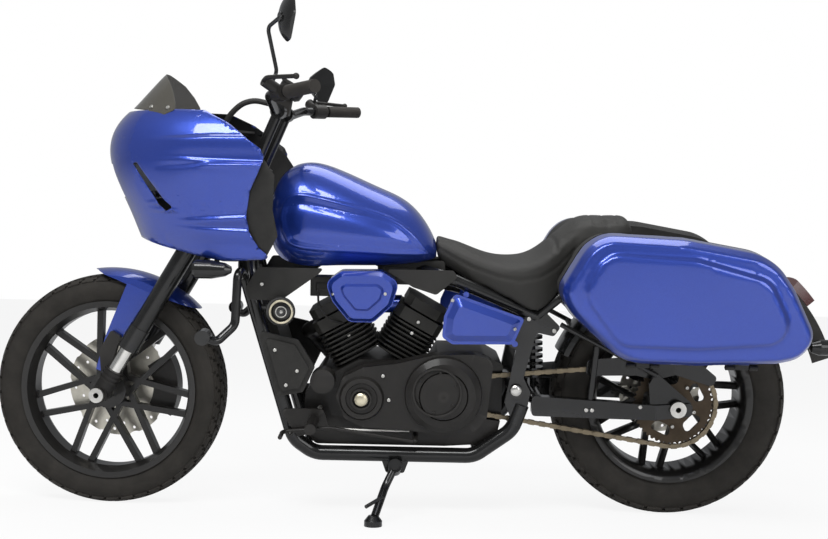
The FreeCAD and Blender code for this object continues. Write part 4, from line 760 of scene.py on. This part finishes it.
def bolt_head(radius, height):
    """A cap screw along +Z, sunk a little at its foot, with a bevelled rim and a socket."""
    bevel, lip, socket = radius * 0.16 * MM, radius * 0.30 * MM, height * 0.6 * MM
    deselect()
    bpy.ops.mesh.primitive_cylinder_add(vertices=18, radius=radius * MM, depth=height * 1.5 * MM,
                                        location=(0, 0, height * 0.25 * MM))
    head = bpy.context.object
    for face in head.data.polygons:
        face.select = face.normal.z > 0.9
    select_by("faces")
    bpy.ops.object.mode_set(mode="EDIT")
    bpy.ops.mesh.inset(thickness=bevel)
    bpy.ops.transform.translate(value=(0, 0, bevel))
    bpy.ops.mesh.inset(thickness=lip)
    bpy.ops.mesh.extrude_region_move(TRANSFORM_OT_translate={"value": (0, 0, -socket)})
    bpy.ops.object.mode_set(mode="OBJECT")
    bpy.ops.object.transform_apply(location=True, rotation=True, scale=True)
    return head


def copies(template, matrices):
    """The template copied to each matrix, each with its own mesh, joined; the template goes."""
    made = []
    for matrix in matrices:
        piece = template.copy()
        piece.data = template.data.copy()
        piece.data.transform(matrix)
        bpy.context.scene.collection.objects.link(piece)
        made.append(piece)
    bpy.data.objects.remove(template)
    deselect()
    for piece in made:
        piece.select_set(True)
    bpy.context.view_layer.objects.active = made[0]
    if len(made) > 1:
        bpy.ops.object.join()
    return made[0]


def seated(name, node, template, spots, finish, sides=LEFT):
    """Copies of a small piece on a node at (x, z) spots, on the left or on both sides."""
    matrices = []
    for side in sides:
        for x, z in spots:
            place, normal = seat_on(node, x, z, side)
            matrices.append(Matrix.Translation(place) @ normal.to_track_quat("Z", "Y").to_matrix().to_4x4())
    body = frame["nodes"][node]["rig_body"]
    finished(copies(template, matrices), name, body, finish, home(node))


def bolts(name, node, finish, radius, height, spots, sides=LEFT):
    seated(name, node, bolt_head(radius, height), spots, finish, sides)


def dome(radius, height):
    """Section of a domed cap with a flat rim."""
    rim = 2
    return [(0, SUNK), (radius, SUNK), (radius, rim * 0.6), (radius - rim * 0.5, rim),
            (radius * 0.7, height * 0.75), (radius * 0.35, height * 0.95), (0, height)]


def ring(inner, outer, height):
    """Section of a ring with bevelled rims."""
    bevel = min(1.2, (outer - inner) * 0.25, height * 0.4)
    return [(inner, SUNK), (outer, SUNK), (outer, height - bevel), (outer - bevel, height),
            (inner + bevel, height), (inner, height - bevel)]


def hose(name, points, radius, finish, body=None):
    """A round line or cable through upright points in millimetres, as a mesh."""
    deselect()
    curve = bpy.data.curves.new(name, "CURVE")
    curve.dimensions, curve.use_fill_caps = "3D", True
    curve.bevel_depth, curve.bevel_resolution, curve.resolution_u = radius * MM, 3, 8
    spline = curve.splines.new("BEZIER")
    spline.bezier_points.add(len(points) - 1)
    for knot, point in zip(spline.bezier_points, points):
        knot.co = at(*point)
        knot.handle_left_type = knot.handle_right_type = "AUTO"
    line = bpy.data.objects.new(name, curve)
    bpy.context.scene.collection.objects.link(line)
    line.select_set(True)
    bpy.context.view_layer.objects.active = line
    bpy.ops.object.convert(target="MESH")
    return finished(bpy.context.object, name, body, finish)


def circle_of(count, centre, radius, first):
    """Even (x, z) spots round a circle, from a first angle in degrees."""
    turns = [math.radians(360 / count * number + first) for number in range(count)]
    return [(centre[0] + radius * math.cos(turn), centre[1] + radius * math.sin(turn)) for turn in turns]


CRANK, CLUTCH, HORN = (-76, 349), (132, 376), (-295, 591)    # centres, as (x, z)
REAR_HUB = (800, 336)


def engine_fasteners():
    """Screws, caps and rings on the engine's left."""
    seated("crank_cap", "primary_cover", lathed(dome(18, 7)), [CRANK], "cream_zinc")
    seated("crank_ring", "primary_cover", lathed(ring(24, 30, 2.4)), [CRANK], "satin_black")
    seated("clutch_ring", "primary_cover", lathed(ring(62, 68, 3), 64), [CLUTCH], "satin_black")
    bolts("clutch_screws", "primary_cover", "satin_black", 4.0, 3, circle_of(6, CLUTCH, 56, 22))
    bolts("primary_screws", "primary_cover", "bright_steel", 5.2, 4, [(-17, 414), (0, 347)])
    bolts("cylinder_screws", "cylinders", "bright_steel", 5.0, 4.5, [(77, 554), (60, 522), (-118, 508)])
    bolts("cleaner_screws", "air_cleaner", "bright_steel", 4.5, 3, [(-156, 642), (-15, 646)])
    bolts("case_screw", "engine_block", "bright_steel", 6.5, 5, [(-193, 310)])


def frame_fasteners():
    """Bolts of the frame, pivot, axle and covers."""
    bolts("frame_bolts", "frame", "bright_steel", 6.0, 5, [(381, 578), (452, 546)], BOTH_SIDES)
    seated("pivot_cap", "swingarm", lathed(dome(15, 6)), [(351, 378)], "bright_steel", BOTH_SIDES)
    bolts("cover_screws", "side_covers", "bright_steel", 5.0, 3, [(338, 556), (168, 630)], BOTH_SIDES)
    bolts("shroud_bolts", "shrouds", "bright_steel", 5.0, 3.5,
          [(-351, 662), (-313, 483), (-252, 426), (-282, 386)])
    bolts("arm_bolts", "swingarm", "bright_steel", 5.5, 4, [(547, 328), (563, 328), (696, 340)], BOTH_SIDES)
    bolts("peg_mount_bolts", "foot_controls", "satin_black", 6.0, 4, [(-269, 253)], BOTH_SIDES)
    bolts("sprocket_bolts", "rear_sprocket", "bright_steel", 5.0, 5, circle_of(5, REAR_HUB, 62, 54))


def block(name, low, high, bevel, finish):
    """A moulded housing between two upright corners, its left face stepped in, its edges rounded."""
    deselect()
    low, high = at(*low), at(*high)
    bpy.ops.mesh.primitive_cube_add(size=1, location=(low + high) / 2, scale=high - low)
    piece = bpy.context.object
    for face in piece.data.polygons:
        face.select = face.normal.y < -0.9
    select_by("faces")
    bpy.ops.object.transform_apply(location=True, rotation=True, scale=True)
    bpy.ops.object.mode_set(mode="EDIT")
    bpy.ops.mesh.inset(thickness=bevel * 1.6 * MM)
    bpy.ops.mesh.extrude_region_move(TRANSFORM_OT_translate={"value": (0, bevel * 0.5 * MM, 0)})
    bpy.ops.object.mode_set(mode="OBJECT")
    rounded = piece.modifiers.new("rounded", "BEVEL")
    rounded.width, rounded.segments, rounded.limit_method = bevel * 0.45 * MM, 3, "ANGLE"
    apply_modifier(piece, "rounded")
    finished(piece, name, "chassis", finish)


def under_tank():
    """What fills the space between tank and cylinders: throttle body, coil and a cable tray."""
    section = [(0, -65), (38, -65), (38, -40), (46, -34), (46, 70), (40, 76), (40, 128), (0, 128)]
    throttle = lathed(section, 40)
    throttle.data.transform(Matrix.Translation(at(-85, 0, 640)) @ Matrix.Rotation(math.pi / 2, 4, "X"))
    finished(throttle, "throttle_body", "chassis", "fin_black")
    block("coil", (-226, -92, 622), (-124, -30, 676), 10, "plastic")
    block("cable_tray", (-40, -66, 656), (150, 66, 725), 12, "plastic")


def rods_and_hoses():
    """The shift rod, the plug lead, and the hose that runs from the fairing to the bar."""
    hose("shift_rod", [(-162, -168, 266), (-60, -140, 256), (58, -107, 247)], 4.2, "bright_steel", "chassis")
    points = [(-205, -90, 640), (-196, -108, 590), (-170, -104, 560), (-132, -84, 546)]
    hose("plug_lead", points, 3.2, "plastic", "chassis")
    points = [(-487, -60, 1060), (-444, -66, 1130), (-400, -68, 1156), (-339, -68, 1150)]
    line = hose("clutch_hose", points, 8, "plastic")
    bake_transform(line)


def rear_wheel():
    """Rear wheel with its brake disc, on the right, left bare steel."""
    disc_face, disc_bore, disc_rim = 69, 60, 125
    wheel = fine_copy("rear_wheel", 1.0, 0)
    points = upright(vertex_places(wheel))
    reach = np.hypot(points[:, 0] - REAR_AXLE.x / MM, points[:, 2] - REAR_AXLE.z / MM)
    mark(wheel, "steel", (points[:, 1] > disc_face) & (reach > disc_bore) & (reach < disc_rim))
    dressed(wheel, "rear_wheel_and_disc", "rear_wheel", "wheel_black")


def screen_screws():
    bolts("screen_screws", "windshield", "bright_steel", 5.5, 3, [(-652, 1132), (-602, 1130)], BOTH_SIDES)


def horn_rings():
    """The horn's pale rim, inner ring and nub."""
    seated("horn_rim", "horn", lathed(ring(27, 33, 3), 48), [HORN], "cream_zinc")
    seated("horn_inner_ring", "horn", lathed(ring(13, 16, 2.5)), [HORN], "bright_steel")
    seated("horn_nub", "horn", lathed(dome(5, 4)), [HORN], "bright_steel")


# ---- studio -------------------------------------------------------------------------------------------
def add_floor():
    """Pale floor that keeps the shadow and goes white far off."""
    deselect()
    bpy.ops.mesh.primitive_plane_add(size=60)
    floor = bpy.context.object
    floor.name = "floor"
    material = bpy.data.materials.new("floor")
    material.use_nodes = True
    tree = material.node_tree
    tree.nodes.clear()
    out = tree.nodes.new("ShaderNodeOutputMaterial")
    diffuse = tree.nodes.new("ShaderNodeBsdfDiffuse")
    diffuse.inputs["Color"].default_value = (0.90, 0.90, 0.90, 1)
    glow = tree.nodes.new("ShaderNodeEmission")
    mix = tree.nodes.new("ShaderNodeMixShader")
    rays = tree.nodes.new("ShaderNodeLightPath")
    share = tree.nodes.new("ShaderNodeMath")
    share.operation = "MULTIPLY"
    share.inputs[1].default_value = 0.88
    tree.links.new(rays.outputs["Is Camera Ray"], share.inputs[0])
    tree.links.new(share.outputs[0], mix.inputs[0])
    tree.links.new(diffuse.outputs[0], mix.inputs[1])
    tree.links.new(glow.outputs[0], mix.inputs[2])
    tree.links.new(mix.outputs[0], out.inputs[0])
    floor.data.materials.append(material)


def add_world():
    """Even studio light, white to the eye and through glass."""
    world = bpy.data.worlds.new("studio")
    bpy.context.scene.world = world
    world.use_nodes = True
    tree = world.node_tree
    soft = tree.nodes["Background"]
    soft.inputs["Color"].default_value = (0.95, 0.97, 1.0, 1)
    soft.inputs["Strength"].default_value = 0.36
    white = tree.nodes.new("ShaderNodeBackground")
    white.inputs["Color"].default_value = (1, 1, 1, 1)
    rays = tree.nodes.new("ShaderNodeLightPath")
    seen = tree.nodes.new("ShaderNodeMath")
    seen.operation = "MAXIMUM"
    mix = tree.nodes.new("ShaderNodeMixShader")
    tree.links.new(rays.outputs["Is Camera Ray"], seen.inputs[0])
    tree.links.new(rays.outputs["Is Transmission Ray"], seen.inputs[1])
    tree.links.new(seen.outputs[0], mix.inputs[0])
    tree.links.new(soft.outputs[0], mix.inputs[1])
    tree.links.new(white.outputs[0], mix.inputs[2])
    tree.links.new(mix.outputs[0], tree.nodes["World Output"].inputs[0])


def add_lamp(name, place, target, size, power):
    """An area lamp aimed at a target."""
    lamp = bpy.data.lights.new(name, "AREA")
    lamp.shape, lamp.size, lamp.size_y, lamp.energy = "RECTANGLE", size[0], size[1], power
    holder = bpy.data.objects.new(name, lamp)
    bpy.context.scene.collection.objects.link(holder)
    aim = (Vector(target) - Vector(place)).to_track_quat("-Z", "Y")
    holder.matrix_world = Matrix.Translation(place) @ aim.to_matrix().to_4x4()


def add_studio():
    add_world()
    add_floor()
    add_lamp("key", (-1.0, -2.6, 3.5), (0, 0, 0.7), (3.2, 0.9), 125)
    add_lamp("fill", (2.6, -3.0, 1.6), (0.2, 0, 0.6), (1.4, 2.0), 34)
    add_lamp("top", (0.2, 0.8, 3.4), (0, 0, 0.6), (3.0, 1.6), 46)


add_camera()
dress_nodes()
add_studio()
tyre("front_tyre_tread", "front_tyre", "front_wheel", FRONT_AXLE, TURNED,
     half=0.060, outer=FRONT_RADIUS, rim=0.254, blocks=46, depth=0.005)
tyre("rear_tyre_tread", "rear_tyre", "rear_wheel", REAR_AXLE, PARKED,
     half=0.076, outer=REAR_RADIUS, rim=0.236, blocks=38, depth=0.006)
fairing()
tank()
bag_lid("bag_lid_left", -1)
bag_lid("bag_lid_right", 1)
seat()
engine_fasteners()
frame_fasteners()
horn_rings()
under_tank()
rods_and_hoses()
rear_wheel()
screen_screws()
